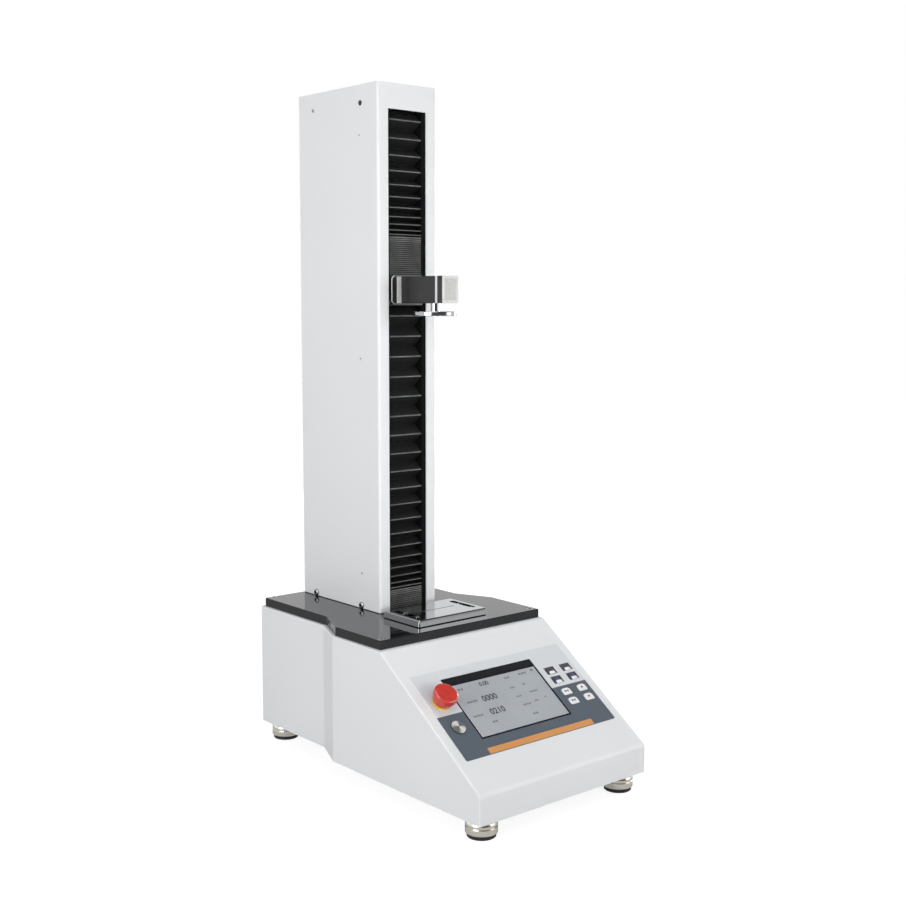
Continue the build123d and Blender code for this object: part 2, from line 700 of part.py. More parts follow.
def guide_rail(side):
    """Profiled guide rail with a waist on both flanks."""
    half = RAIL_W / 2
    front = WEB_Y - RAIL_H
    outline = [
        (-half, WEB_Y),
        (-half, WEB_Y - RAIL_H * 0.4),
        (-half + RAIL_WAIST, WEB_Y - RAIL_H * 0.55),
        (-half, WEB_Y - RAIL_H * 0.7),
        (-half, front),
    ]
    outline += [(-x, y) for x, y in reversed(outline)]
    bottom = PLATE_TOP + RAIL_END_GAP
    rail = extrude(make_face(Polyline(*outline, close=True)), amount=FRAME_TOP - RAIL_END_GAP / 2 - bottom)
    return Pos(side * RAIL_SPACING / 2, 0, bottom) * rail


def bearing_bore(z):
    """Running bore for the end journals of the screw."""
    return rod(JOURNAL_D + 2 * RUNNING_GAP, (z[0] - OVERCUT, z[1] + OVERCUT), (0, SCREW_Y))


def lower_bearing_block():
    """Bearing block of the screw on the top plate."""
    z = (PLATE_TOP, LOWER_BEARING_TOP)
    half = BEARING_DEPTH / 2
    body = block((-BEARING_W / 2, BEARING_W / 2), (SCREW_Y - half, SCREW_Y + half), z)
    body = chamfer(body.edges().filter_by(Axis.Z), BEARING_CHAMFER)
    return body - bearing_bore(z)


def upper_bearing_block():
    """Bearing block of the screw, held on the column frame between the rails."""
    z = (UPPER_BEARING_BOTTOM, UPPER_BEARING_BOTTOM + UPPER_BEARING_H)
    half = UPPER_BEARING_W / 2
    body = block((-half, half), (SCREW_Y, WEB_Y), z)
    body += rod(UPPER_BEARING_W, z, (0, SCREW_Y))
    return body - bearing_bore(z)


# Screw drive
def lead_screw():
    """Screw with turned journals; the lower one carries the pulley."""
    upper_end = UPPER_BEARING_BOTTOM + UPPER_BEARING_H
    screw = rod(JOURNAL_D, (PULLEY_BOTTOM, upper_end), (0, SCREW_Y))
    thread_z = (LOWER_BEARING_TOP + RUNNING_GAP, UPPER_BEARING_BOTTOM - RUNNING_GAP)
    return screw + rod(SCREW_D, thread_z, (0, SCREW_Y))


def pulley(radius, bore, at):
    """Toothed-belt pulley with a flange on each side."""
    rim = radius + PULLEY_FLANGE_LIP
    body = rod(2 * radius, (PULLEY_BOTTOM, PULLEY_TOP), at)
    for z in (PULLEY_BOTTOM, PULLEY_TOP - PULLEY_FLANGE_T):
        body += rod(2 * rim, (z, z + PULLEY_FLANGE_T), at)
    return body - rod(bore + 2 * FIT_GAP, (PULLEY_BOTTOM - OVERCUT, PULLEY_TOP + OVERCUT), at)


def belt_loop(grow):
    """Plan of the belt run round both pulleys, grown from the pulley faces."""
    large = Pos(0, SCREW_Y) * Circle(SCREW_PULLEY_R + grow)
    small = Pos(0, MOTOR_Y) * Circle(MOTOR_PULLEY_R + grow)
    return make_hull(large.edges() + small.edges())


def drive_belt():
    """Closed belt between the pulley flanges."""
    bottom = PULLEY_BOTTOM + PULLEY_FLANGE_T + BELT_SIDE_GAP
    ring = belt_loop(RUNNING_GAP + BELT_T) - belt_loop(RUNNING_GAP)
    return Pos(0, 0, bottom) * extrude(ring, amount=BELT_WIDTH)


def drive_motor():
    """Square motor under its bracket, with a centring boss and a shaft bore."""
    half = MOTOR_SIZE / 2
    z = (MOTOR_BOTTOM, BRACKET_BOTTOM)
    body = block((-half, half), (MOTOR_Y - half, MOTOR_Y + half), z)
    body = fillet(body.edges().filter_by(Axis.Z), MOTOR_EDGE_R)
    body += rod(MOTOR_BOSS_D, (z[1], z[1] + MOTOR_BOSS_H), (0, MOTOR_Y))
    bore_z = (z[1] - MOTOR_SHAFT_ROOT - RUNNING_GAP, z[1] + MOTOR_BOSS_H + OVERCUT)
    return body - rod(MOTOR_SHAFT_D + 2 * RUNNING_GAP, bore_z, (0, MOTOR_Y))


def motor_bracket():
    """Plate hung from the top plate by four standoffs."""
    half_x = MOTOR_SIZE / 2 + BRACKET_SIDE
    half_y = MOTOR_SIZE / 2 + BRACKET_END
    plate_y = (MOTOR_Y - half_y, MOTOR_Y + half_y)
    plate = block((-half_x, half_x), plate_y, (BRACKET_BOTTOM, BRACKET_TOP))
    for x in (-half_x + STANDOFF_INSET, half_x - STANDOFF_INSET):
        for y in (plate_y[0] + STANDOFF_INSET, plate_y[1] - STANDOFF_INSET):
            plate += rod(STANDOFF_D, (BRACKET_TOP, BASE_TOP), (x, y))
    hole_z = (BRACKET_BOTTOM - OVERCUT, BRACKET_TOP + OVERCUT)
    return plate - rod(MOTOR_BOSS_D + 2 * FIT_GAP, hole_z, (0, MOTOR_Y))


def motor_shaft():
    """Rotor shaft up to the top of its pulley."""
    return rod(MOTOR_SHAFT_D, (BRACKET_BOTTOM - MOTOR_SHAFT_ROOT, PULLEY_TOP), (0, MOTOR_Y))


# Crosshead
def carriage():
    """Back plate on the guides with the nut block that reaches through the window."""
    half_plate = FRAME_WIDTH / 2
    plate_z = (CROSSHEAD_Z - CARRIAGE_PLATE_H / 2, CROSSHEAD_Z + CARRIAGE_PLATE_H / 2)
    half = PLEAT_WIDTH / 2
    body = block((-half_plate, half_plate), (CARRIAGE_PLATE_Y, GUIDE_FACE_Y), plate_z)
    body += block((-half, half), (CARRIAGE_FRONT_Y, CARRIAGE_PLATE_Y), (CROSSHEAD_BOTTOM, CROSSHEAD_TOP))
    rise = (CARRIAGE_PLATE_H - CROSSHEAD_H) / 2
    for side in (-1, 1):
        rib_x = sorted((side * half, side * (half - RIB_T)))
        for edge, way in ((CROSSHEAD_TOP, 1), (CROSSHEAD_BOTTOM, -1)):
            rib = [
                (CARRIAGE_PLATE_Y, edge),
                (CARRIAGE_PLATE_Y - RIB_RUN, edge),
                (CARRIAGE_PLATE_Y, edge + way * rise),
            ]
            body += side_prism(rib, rib_x)
    flag_y = (GUIDE_FACE_Y, GUIDE_FACE_Y + FLAG_REACH)
    body += block((-FLAG_W / 2, FLAG_W / 2), flag_y, (CROSSHEAD_Z - FLAG_W, CROSSHEAD_Z + FLAG_W))
    bore_z = (CROSSHEAD_BOTTOM - OVERCUT, CROSSHEAD_TOP + OVERCUT)
    return body - rod(NUT_D + 2 * FIT_GAP, bore_z, (0, SCREW_Y))


def guide_block(side, end):
    """Runner block that wraps a rail with a running gap."""
    x = side * RAIL_SPACING / 2
    z = CROSSHEAD_Z + end * GUIDE_PITCH / 2
    span_z = (z - GUIDE_LENGTH / 2, z + GUIDE_LENGTH / 2)
    body = block((x - GUIDE_W / 2, x + GUIDE_W / 2), (GUIDE_FACE_Y, WEB_Y - GUIDE_LIFT), span_z)
    half = RAIL_W / 2 + RUNNING_GAP
    return body - block((x - half, x + half), (WEB_Y - RAIL_H - RUNNING_GAP, WEB_Y), span_z)


def ball_nut():
    """Flanged nut in the carriage, flange below, trimmed to two flats."""
    bottom = CROSSHEAD_BOTTOM - NUT_FLANGE_T
    at = (0, SCREW_Y)
    flange = rod(NUT_FLANGE_D, (bottom, CROSSHEAD_BOTTOM), at)
    half = NUT_FLATS / 2
    flange = flange & block((-NUT_FLANGE_D, NUT_FLANGE_D), (SCREW_Y - half, SCREW_Y + half), (0, COLUMN_TOP))
    nut = flange + rod(NUT_D, (bottom, CROSSHEAD_TOP), at)
    return nut - rod(SCREW_D + 2 * RUNNING_GAP, (bottom - OVERCUT, CROSSHEAD_TOP + OVERCUT), at)


def crosshead_plate():
    """Face plate in the window, with cut corners."""
    face = Rectangle(FACE_WIDTH, FACE_H)
    face = chamfer(face.vertices(), FACE_CHAMFER)
    place = Plane(origin=(0, FACE_FRONT_Y + FACE_T, CROSSHEAD_Z), x_dir=(1, 0, 0), z_dir=(0, -1, 0))
    return extrude(place * face, amount=FACE_T)


def arm():
    """Hollow load arm, open below where the cell and its stem move."""
    half = ARM_WIDTH / 2
    body = block((-half, half), (ARM_NOSE_Y, ARM_ROOT_Y), (ARM_BOTTOM, ARM_TOP))
    body = fillet(body.edges().filter_by(Axis.Y), ARM_EDGE_R)
    inner = ARM_INNER_HALF
    hollow_y = (ARM_NOSE_Y + ARM_WALL, CELL_REAR_Y + FIT_GAP)
    seat_y = (ARM_NOSE_Y + ARM_WALL, CELL_REAR_Y - CELL_SEAT)
    hollow = block((-inner, inner), hollow_y, (ARM_BOTTOM - OVERCUT, CELL_TOP))
    relief = block((-inner, inner), seat_y, (CELL_TOP - OVERCUT, CELL_TOP + CELL_RELIEF))
    return body - hollow - relief


def load_cell():
    """Bending-beam cell with a double eye, fixed at its rear end."""
    half = CELL_WIDTH / 2
    z = (CELL_TOP - CELL_H, CELL_TOP)
    body = block((-half, half), (CELL_FRONT_Y, CELL_REAR_Y), z)
    middle = (CELL_FRONT_Y + CELL_REAR_Y) / 2
    eyes = []
    for shift in (-CELL_EYE_PITCH / 2, CELL_EYE_PITCH / 2):
        eye = Rot(0, 90, 0) * Cylinder(CELL_EYE_D / 2, 2 * CELL_WIDTH)
        eyes.append(Pos(0, middle + shift, (z[0] + z[1]) / 2) * eye)
    hole = rod(STEM_D + 2 * FIT_GAP, (z[0] - OVERCUT, z[0] + STEM_ROOT), (0, LOAD_Y))
    return body - eyes - hole


def arm_slice(y):
    """Piece with the section of the arm between two depths."""
    half = ARM_WIDTH / 2
    piece = block((-half, half), y, (ARM_BOTTOM, ARM_TOP))
    return fillet(piece.edges().filter_by(Axis.Y), ARM_EDGE_R)


def arm_flange():
    """Thin flange between the root of the arm and the face plate."""
    half = ARM_WIDTH / 2 + ARM_FLANGE_SIDE
    return block((-half, half), (ARM_ROOT_Y, FACE_FRONT_Y), (ARM_BOTTOM, ARM_TOP))


def stem():
    """Round stem from the cell down to the platen."""
    return rod(STEM_D, (PLATEN_TOP, CELL_TOP - CELL_H + STEM_ROOT), (0, LOAD_Y))


def platen():
    """Round upper platen with broken edges."""
    disc = rod(PLATEN_D, (PLATEN_BOTTOM, PLATEN_TOP), (0, LOAD_Y))
    return chamfer(disc.edges().filter_by(GeomType.CIRCLE), PLATEN_EDGE)


# Test table
def table_slot(side):
    """Stepped fixing slot along the depth of the table."""
    place = Pos(side * (TABLE_WIDTH / 2 - SLOT_SIDE), LOAD_Y, PLATE_TOP - OVERCUT)
    length = TABLE_DEPTH - 2 * SLOT_END
    through = extrude(SlotOverall(length, SLOT_WIDTH, rotation=90), amount=TABLE_T + 2 * OVERCUT)
    head = SlotOverall(length + SLOT_HEAD_WIDTH - SLOT_WIDTH, SLOT_HEAD_WIDTH, rotation=90)
    sunk = extrude(head, amount=SLOT_HEAD_DEPTH + OVERCUT)
    sunk = Pos(0, 0, TABLE_T + OVERCUT - SLOT_HEAD_DEPTH) * sunk
    return place * (through + sunk)


def test_table():
    """Polished lower table with fixing slots and a centre groove."""
    half_x = TABLE_WIDTH / 2
    half_y = TABLE_DEPTH / 2
    table = block((-half_x, half_x), (LOAD_Y - half_y, LOAD_Y + half_y), (PLATE_TOP, TABLE_TOP))
    table = fillet(table.edges().filter_by(Axis.Z), TABLE_CORNER)
    table = chamfer(table.faces().sort_by(Axis.Z)[-1].edges(), TABLE_EDGE)
    table = chamfer(table.faces().sort_by(Axis.Z)[0].edges(), TABLE_FOOT_EDGE)
    groove = SlotOverall(TABLE_WIDTH - 2 * GROOVE_SIDE, GROOVE_WIDTH)
    groove = extrude(groove, amount=GROOVE_DEPTH + OVERCUT)
    groove = Pos(0, LOAD_Y, TABLE_TOP - GROOVE_DEPTH) * groove
    return table - [table_slot(-1), table_slot(1), groove]


# Pleated covers
def fold_pitches(length, open_folds, spread):
    """Fold spacing from the stretched end, easing down to the packed folds."""
    weights = [1 - (index / open_folds) ** spread for index in range(open_folds)]
    ramp = (length - DENSE_PITCH * FOLDS) / sum(weights)
    return [DENSE_PITCH + ramp * w for w in weights] + [DENSE_PITCH] * (FOLDS - open_folds)


def bellows(stretched_z, packed_z, open_folds, spread):
    """Pleated sheet between two heights, ridges to the front."""
    way = 1 if packed_z > stretched_z else -1
    z = stretched_z
    points = []
    for pitch in fold_pitches(abs(packed_z - stretched_z), open_folds, spread):
        points.append((PLEAT_VALLEY_Y, z))
        points.append((PLEAT_RIDGE_Y, z + way * pitch / 2))
        z += way * pitch
    points.append((PLEAT_VALLEY_Y, packed_z))
    points += [(y + PLEAT_SHEET, z) for y, z in reversed(points)]
    return side_prism(points, (-PLEAT_WIDTH / 2, PLEAT_WIDTH / 2))


def bellows_guide(side):
    """Dark channel along one edge of the window."""
    near = PLEAT_WIDTH / 2 + CHANNEL_GAP
    far = near + CHANNEL_W
    height = (PLATE_TOP, WINDOW_TOP + CHANNEL_W)
    front = COLUMN_FRONT_Y + CHANNEL_SETBACK
    strip = block(sorted((side * near, side * far)), (front, front + CHANNEL_DEPTH), height)
    lip = far + CHANNEL_LIP_OUT
    lip_x = sorted((side * (lip - CHANNEL_LIP), side * lip))
    return strip + block(lip_x, (COLUMN_FRONT_Y + COVER_SHEET, front + CHANNEL_DEPTH), height)


# Control panel
def control_overlay():
    """Printed sheet on the slope, cut out round the screen and the controls."""
    x = (-OVERLAY_HALF, OVERLAY_HALF)
    sheet = panel_block(x, (OVERLAY_TOP, OVERLAY_BOTTOM), (0, OVERLAY_T), OVERLAY_CORNER)
    return sheet - panel_openings((-SHEET, SHEET))


def display_module():
    """Screen set in the slope, on a frame behind the sheet."""
    glass = screen_opening(0.0, (-SCREEN_MODULE_T, OVERLAY_T - SCREEN_RECESS))
    return glass + screen_opening(SCREEN_FRAME, (-SCREEN_MODULE_T, -SHEET))


def estop_body():
    """Switch block behind the sheet with its neck and plunger bore."""
    neck = panel_rod(ESTOP_NECK_D, (-ESTOP_BODY_LENGTH, OVERLAY_T), CONTROL_X, ESTOP_DOWN)
    body = neck + panel_rod(ESTOP_BODY_D, (-ESTOP_BODY_LENGTH, -SHEET), CONTROL_X, ESTOP_DOWN)
    bore = (-ESTOP_BODY_LENGTH + SHEET, OVERLAY_T + OVERCUT)
    return body - panel_rod(ESTOP_STEM_D + 2 * RUNNING_GAP, bore, CONTROL_X, ESTOP_DOWN)


def estop_collar():
    """Ring under the mushroom head."""
    out = (OVERLAY_T, OVERLAY_T + ESTOP_COLLAR_T)
    ring = panel_rod(ESTOP_COLLAR_D, out, CONTROL_X, ESTOP_DOWN)
    ring = fillet(ring.faces().sort_by(Axis((0, 0, 0), tuple(PANEL.z_dir)))[-1].edges(), ESTOP_COLLAR_R)
    return ring - panel_rod(ESTOP_STEM_D + 2 * RUNNING_GAP, (0, 2 * out[1]), CONTROL_X, ESTOP_DOWN)


def estop_plunger():
    """Round plunger that carries the head."""
    out = (-ESTOP_BODY_LENGTH / 2, ESTOP_HEAD_BOTTOM + ESTOP_SKIRT)
    return panel_rod(ESTOP_STEM_D, out, CONTROL_X, ESTOP_DOWN)


def estop_head():
    """Mushroom head: a waisted skirt under a domed grip."""
    grip = ESTOP_HEAD_D / 2
    outline = Polyline(
        (0, 0),
        (grip - ESTOP_LIP, 0),
        (grip - ESTOP_LIP / 2, ESTOP_SKIRT - ESTOP_LIP),
        (grip, ESTOP_SKIRT),
        (grip, ESTOP_HEAD_H - ESTOP_LIP / 2),
        (grip - ESTOP_LIP, ESTOP_HEAD_H),
        (0, ESTOP_HEAD_H),
        close=True,
    )
    face = make_face(outline)
    crown = [v for v in face.vertices() if v.X > grip / 2 and v.Y > ESTOP_HEAD_H - ESTOP_LIP]
    face = fillet(crown, ESTOP_LIP / 2)
    head = revolve(Plane.XZ * face, axis=Axis.Z)
    head = on_panel(CONTROL_X, ESTOP_DOWN, ESTOP_HEAD_BOTTOM) * head
    bore = (ESTOP_HEAD_BOTTOM - OVERCUT, ESTOP_HEAD_BOTTOM + ESTOP_SKIRT + FIT_GAP)
    return head - panel_rod(ESTOP_STEM_D + 2 * FIT_GAP, bore, CONTROL_X, ESTOP_DOWN)


def power_button_body():
    """Metal button housing with a raised bezel and a bore for the cap."""
    at = (CONTROL_X, BUTTON_DOWN)
    bezel = panel_rod(BUTTON_BEZEL_D, (OVERLAY_T, OVERLAY_T + BUTTON_BEZEL_H), *at)
    bezel = chamfer(bezel.faces().sort_by(Axis((0, 0, 0), tuple(PANEL.z_dir)))[-1].edges(), BUTTON_EDGE)
    body = bezel + panel_rod(BUTTON_NECK_D, (-BUTTON_BODY_LENGTH, OVERLAY_T), *at)
    bore = (-BUTTON_BODY_LENGTH / 2, OVERLAY_T + BUTTON_BEZEL_H + OVERCUT)
    return body - panel_rod(BUTTON_CAP_D + 2 * RUNNING_GAP, bore, *at)


def power_button_cap():
    """Cap that stands a little proud of its bezel."""
    top = OVERLAY_T + BUTTON_BEZEL_H + BUTTON_CAP_PROUD
    bottom = -BUTTON_BODY_LENGTH / 2 + BUTTON_TRAVEL + RUNNING_GAP
    cap = panel_rod(BUTTON_CAP_D, (bottom, top), CONTROL_X, BUTTON_DOWN)
    return chamfer(cap.faces().sort_by(Axis((0, 0, 0), tuple(PANEL.z_dir)))[-1].edges(), BUTTON_EDGE)


def key_cap(column, row):
    """Key that passes through the overlay and the sheet."""
    return key_shape(column, row, 0.0, (KEY_BOTTOM, OVERLAY_T + KEY_PROUD))


def keypad_board():
    """Switch board behind the keys, on spacers, with a dome under each key."""
    top = KEY_BOTTOM - KEY_TRAVEL - KEY_STOP_GAP - DOME_H
    x = (KEY_COLUMNS[0] - KEY_W / 2 - BOARD_MARGIN, KEY_COLUMNS[-1] + KEY_W / 2 + BOARD_MARGIN)
    down = (KEY_ROWS[0] - KEY_H / 2 - BOARD_MARGIN, KEY_ROWS[-1] + KEY_H / 2 + BOARD_MARGIN)
    board = panel_block(x, down, (top - BOARD_T, top))
    for at_x in (x[0] + SPACER_D / 2, x[1] - SPACER_D / 2):
        for at_down in (down[0] + SPACER_D / 2, down[1] - SPACER_D / 2):
            board += panel_rod(SPACER_D, (top, -SHEET), at_x, at_down)
    for key_x in KEY_COLUMNS:
        for key_down in KEY_ROWS:
            board += panel_rod(DOME_D, (top, top + DOME_H), key_x, key_down)
    return board


# Electrics
def power_supply():
    """Boxed supply on the bottom plate."""
    x = (-REAR_WIDTH / 2 + SUPPLY_WALL_GAP, -SUPPLY_CENTRE_GAP)
    back = REAR_Y - SUPPLY_REAR_GAP
    box = block(x, (back - SUPPLY_LENGTH, back), (BOTTOM_TOP, BOTTOM_TOP + SUPPLY_H))
    return chamfer(box.faces().sort_by(Axis.Z)[-1].edges(), SUPPLY_EDGE)


def control_board():
    """Drive board on four standoffs with its heat sink."""
    x = (PCB_CENTRE_GAP, REAR_WIDTH / 2 - PCB_WALL_GAP)
    back = REAR_Y - PCB_REAR_GAP
    y = (back - PCB_LENGTH, back)
    z = BOTTOM_TOP + PCB_LIFT
    board = block(x, y, (z, z + BOARD_T))
    for at_x in (x[0] + SPACER_D, x[1] - SPACER_D):
        for at_y in (y[0] + SPACER_D, y[1] - SPACER_D):
            board += rod(SPACER_D, (BOTTOM_TOP, z), (at_x, at_y))
    middle = ((x[0] + x[1]) / 2, (y[0] + y[1]) / 2)
    sink_x = (middle[0] - SINK_WIDTH / 2, middle[0] + SINK_WIDTH / 2)
    sink_y = (middle[1] - SINK_LENGTH / 2, middle[1] + SINK_LENGTH / 2)
    return board + block(sink_x, sink_y, (z + BOARD_T, z + BOARD_T + SINK_H))


def power_inlet():
    """Mains inlet with three blades and a well for the rocker above it."""
    half_w = INLET_WIDTH / 2
    half_h = INLET_HEIGHT / 2
    flange_y = (REAR_Y, REAR_Y + INLET_FLANGE_T)
    flange = block((INLET_X - half_w, INLET_X + half_w), flange_y, (INLET_Z - half_h, INLET_Z + half_h))
    flange = fillet(flange.edges().filter_by(Axis.Y), INLET_LIP)
    body_x = (INLET_X - half_w + INLET_LIP, INLET_X + half_w - INLET_LIP)
    body_z = (INLET_Z - half_h + INLET_LIP, INLET_Z + half_h - INLET_LIP)
    body = flange + block(body_x, (REAR_Y - INLET_BODY_DEPTH, REAR_Y), body_z)
    socket_z = INLET_Z - SOCKET_DROP
    mouth = Rectangle(SOCKET_WIDTH, SOCKET_HEIGHT)
    mouth = chamfer(mouth.vertices().sort_by(Axis.Y)[-2:], SOCKET_CHAMFER)
    out = flange_y[1]
    place = Plane(origin=(INLET_X, out, socket_z), x_dir=(-1, 0, 0), z_dir=(0, 1, 0))
    body -= extrude(place * mouth, amount=-SOCKET_RECESS)
    for shift, rise in ((-1, -1), (0, 1), (1, -1)):
        x = INLET_X + shift * BLADE_PITCH
        z = socket_z + rise * BLADE_PITCH / 4
        blade_y = (out - SOCKET_RECESS, out - SOCKET_RECESS + BLADE_LENGTH)
        body += block((x - BLADE_W / 2, x + BLADE_W / 2), blade_y, (z - BLADE_H / 2, z + BLADE_H / 2))
    half_x = ROCKER_WIDTH / 2 + ROCKER_GAP
    half_z = ROCKER_HEIGHT / 2 + ROCKER_GAP
    well_y = (ROCKER_PIVOT[1] - ROCKER_REACH - ROCKER_GAP, out + OVERCUT)
    well = block((INLET_X - half_x, INLET_X + half_x), well_y, (ROCKER_Z - half_z, ROCKER_Z + half_z))
    return body - well


def rocker_switch():
    """Rocker paddle, shallow V in front and round behind, tipped to off."""
    half = ROCKER_HEIGHT / 2
    depth = ROCKER_REACH / 2
    outline = [
        (depth, -half),
        (depth - ROCKER_DISH, 0),
        (depth, half),
        (-depth / 2, half * 0.8),
        (-depth, 0),
        (-depth / 2, -half * 0.8),
    ]
    paddle = side_prism(outline, (-ROCKER_WIDTH / 2, ROCKER_WIDTH / 2))
    return Pos(*ROCKER_PIVOT) * Rot(-ROCKER_TILT, 0, 0) * paddle


def limit_switch(z):
    """Limit switch on the web of the frame, clear of the passing flag."""
    height = (z - SWITCH_H / 2, z + SWITCH_H / 2)
    return block((-SWITCH_W / 2, SWITCH_W / 2), (WEB_Y - SWITCH_DEPTH, WEB_Y), height)


def build_parts():
    """All pieces by node name."""
    skin = base_skin()
    flag_reach = FLAG_W + SWITCH_H / 2 + SWITCH_MARGIN
    arm_end = ARM_NOSE_Y - SPACER_T - END_BLOCK_T
    parts = {
        "side_panel_left": side_panel(skin, -1),
        "side_panel_right": side_panel(skin, 1),
        "front_panel": front_panel(skin),
        "rear_panel": rear_panel(skin),
        "bottom_plate": bottom_plate(),
        "base_plate": base_plate(),
        "base_posts": group([base_post(at) for at in POST_PLACES]),
        "plate_screws": group([plate_screw(at) for at in POST_PLACES]),
        "feet": group([foot(at) for at in FOOT_PLACES]),
        "foot_pads": group([foot_pad(at) for at in FOOT_PLACES]),
        "column_cover": column_cover(),
        "column_rear_cover": column_rear_cover(),
        "column_frame": column_frame(),
        "guide_rails": group([guide_rail(-1), guide_rail(1)]),
        "lower_bearing_block": lower_bearing_block(),
        "upper_bearing_block": upper_bearing_block(),
        "lead_screw": lead_screw(),
        "screw_pulley": pulley(SCREW_PULLEY_R, JOURNAL_D, (0, SCREW_Y)),
        "drive_belt": drive_belt(),
        "drive_motor": drive_motor(),
        "motor_bracket": motor_bracket(),
        "motor_shaft": motor_shaft(),
        "motor_pulley": pulley(MOTOR_PULLEY_R, MOTOR_SHAFT_D, (0, MOTOR_Y)),
        "upper_bellows": bellows(WINDOW_TOP, CROSSHEAD_TOP + PLEAT_GAP, UPPER_OPEN_FOLDS, UPPER_SPREAD),
        "lower_bellows": bellows(CROSSHEAD_BOTTOM - PLEAT_GAP, PLATE_TOP, LOWER_OPEN_FOLDS, LOWER_SPREAD),
        "bellows_guides": group([bellows_guide(-1), bellows_guide(1)]),
        "carriage": carriage(),
        "guide_blocks": group([guide_block(s, e) for s in (-1, 1) for e in (-1, 1)]),
        "ball_nut": ball_nut(),
        "crosshead_plate": crosshead_plate(),
        "arm": arm(),
        "load_cell": load_cell(),
        "arm_spacer": group([arm_slice((ARM_NOSE_Y - SPACER_T, ARM_NOSE_Y)), arm_flange()]),
        "arm_end_block": arm_slice((arm_end, ARM_NOSE_Y - SPACER_T)),
        "arm_front_plate": arm_slice((arm_end - FRONT_PLATE_T, arm_end)),
        "stem": stem(),
        "platen": platen(),
        "test_table": test_table(),
        "display_module": display_module(),
        "control_overlay": control_overlay(),
        "estop_body": estop_body(),
        "estop_collar": estop_collar(),
        "estop_plunger": estop_plunger(),
        "estop_head": estop_head(),
        "power_button_body": power_button_body(),
        "power_button_cap": power_button_cap(),
        "keypad_board": keypad_board(),
        "control_board": control_board(),
        "power_supply": power_supply(),
        "power_inlet": power_inlet(),
        "rocker_switch": rocker_switch(),
        "limit_switches": group(
            [
                limit_switch(CROSSHEAD_Z + TRAVEL_UP + flag_reach),
                limit_switch(CROSSHEAD_Z - TRAVEL_DOWN - flag_reach),
            ]
        ),
    }
    for row in range(len(KEY_ROWS)):
        for column in range(len(KEY_COLUMNS)):
            parts[f"key_{row * len(KEY_COLUMNS) + column + 1}"] = key_cap(column, row)
    return parts


def main():
    os.makedirs("parts", exist_ok=True)
    for name, shape in build_parts().items():
        export_step(shape, f"parts/{name}.step")


if __name__ == "__main__":
    main()
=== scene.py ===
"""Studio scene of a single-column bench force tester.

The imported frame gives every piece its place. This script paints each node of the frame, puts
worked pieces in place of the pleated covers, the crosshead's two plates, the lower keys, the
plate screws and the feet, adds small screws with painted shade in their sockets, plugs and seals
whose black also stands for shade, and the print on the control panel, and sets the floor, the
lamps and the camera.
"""

import json
import logging
import math
from collections.abc import Callable, Sequence
from dataclasses import dataclass
from enum import Enum
from functools import partial

import bpy
from mathutils import Matrix, Vector


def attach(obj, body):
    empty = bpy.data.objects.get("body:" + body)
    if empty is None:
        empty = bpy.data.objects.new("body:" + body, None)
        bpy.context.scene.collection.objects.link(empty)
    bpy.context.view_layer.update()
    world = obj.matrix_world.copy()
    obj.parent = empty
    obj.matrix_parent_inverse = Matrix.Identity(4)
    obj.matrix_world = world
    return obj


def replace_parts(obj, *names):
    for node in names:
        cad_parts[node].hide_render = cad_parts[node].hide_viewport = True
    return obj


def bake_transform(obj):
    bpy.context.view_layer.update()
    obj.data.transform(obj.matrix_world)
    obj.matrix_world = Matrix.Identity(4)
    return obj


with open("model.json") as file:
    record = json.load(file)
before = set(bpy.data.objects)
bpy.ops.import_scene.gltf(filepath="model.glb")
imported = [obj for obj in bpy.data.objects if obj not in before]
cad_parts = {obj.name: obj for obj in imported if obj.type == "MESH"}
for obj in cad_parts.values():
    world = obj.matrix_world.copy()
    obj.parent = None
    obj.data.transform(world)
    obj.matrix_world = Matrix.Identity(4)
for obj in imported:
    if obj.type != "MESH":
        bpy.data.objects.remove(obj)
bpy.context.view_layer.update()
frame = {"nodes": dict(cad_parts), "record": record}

Colour = tuple[float, float, float]
Socket = bpy.types.NodeSocket
Piece = bpy.types.Object
Material = bpy.types.Material

MM = 0.001
NEAR = 0.02 * MM
IMAGE_SIDE = 906
WHITE = (1.0, 1.0, 1.0, 1.0)
NOISE_SPAN = (0.3, 0.7)

log = logging.getLogger("force_tester")


class Zone(Enum):
    """Kinds of mesh element that an operator is pointed at."""

    FACE = "FACE"
    EDGE = "EDGE"


class Side(Enum):
    """Left and right of a person who faces the panel."""

    LEFT = -1
    RIGHT = 1


@dataclass(frozen=True)
class Panel:
    """Sloped control panel, with places by the distance across and down it, in millimetres."""

    top_y: float = -64.0
    top_z: float = 196.0
    run: float = 192.5
    rise: float = 135.0

    @property
    def tilt(self) -> float:
        """Angle of the slope above level."""
        return math.atan2(self.rise, self.run)

    @property
    def corner(self) -> Vector:
        """Middle of the slope's top edge, in metres."""
        return Vector((0.0, self.top_y, self.top_z)) * MM

    def place(self, across: float, down: float, out: float) -> Matrix:
        """Gives a place on the panel whose Z axis stands out of it.

        Args:
            across: Distance to the right of the middle.
            down: Distance down the slope from its top edge.
            out: Height above the skin.

        Returns:
            The matrix of that place, in metres.
        """
        turn = Matrix.Rotation(self.tilt, 4, "X")
        return Matrix.Translation(self.corner) @ turn @ shifted(across, -down, out)


PANEL = Panel()


def shifted(x: float, y: float, z: float) -> Matrix:
    """Matrix of a plain move, given in millimetres."""
    return Matrix.Translation(Vector((x, y, z)) * MM)


def facing(at: Sequence[float], way: Sequence[float]) -> Matrix:
    """Matrix of a place in millimetres whose Z axis points along way."""
    return shifted(*at) @ Vector(way).to_track_quat("Z", "Y").to_matrix().to_4x4()


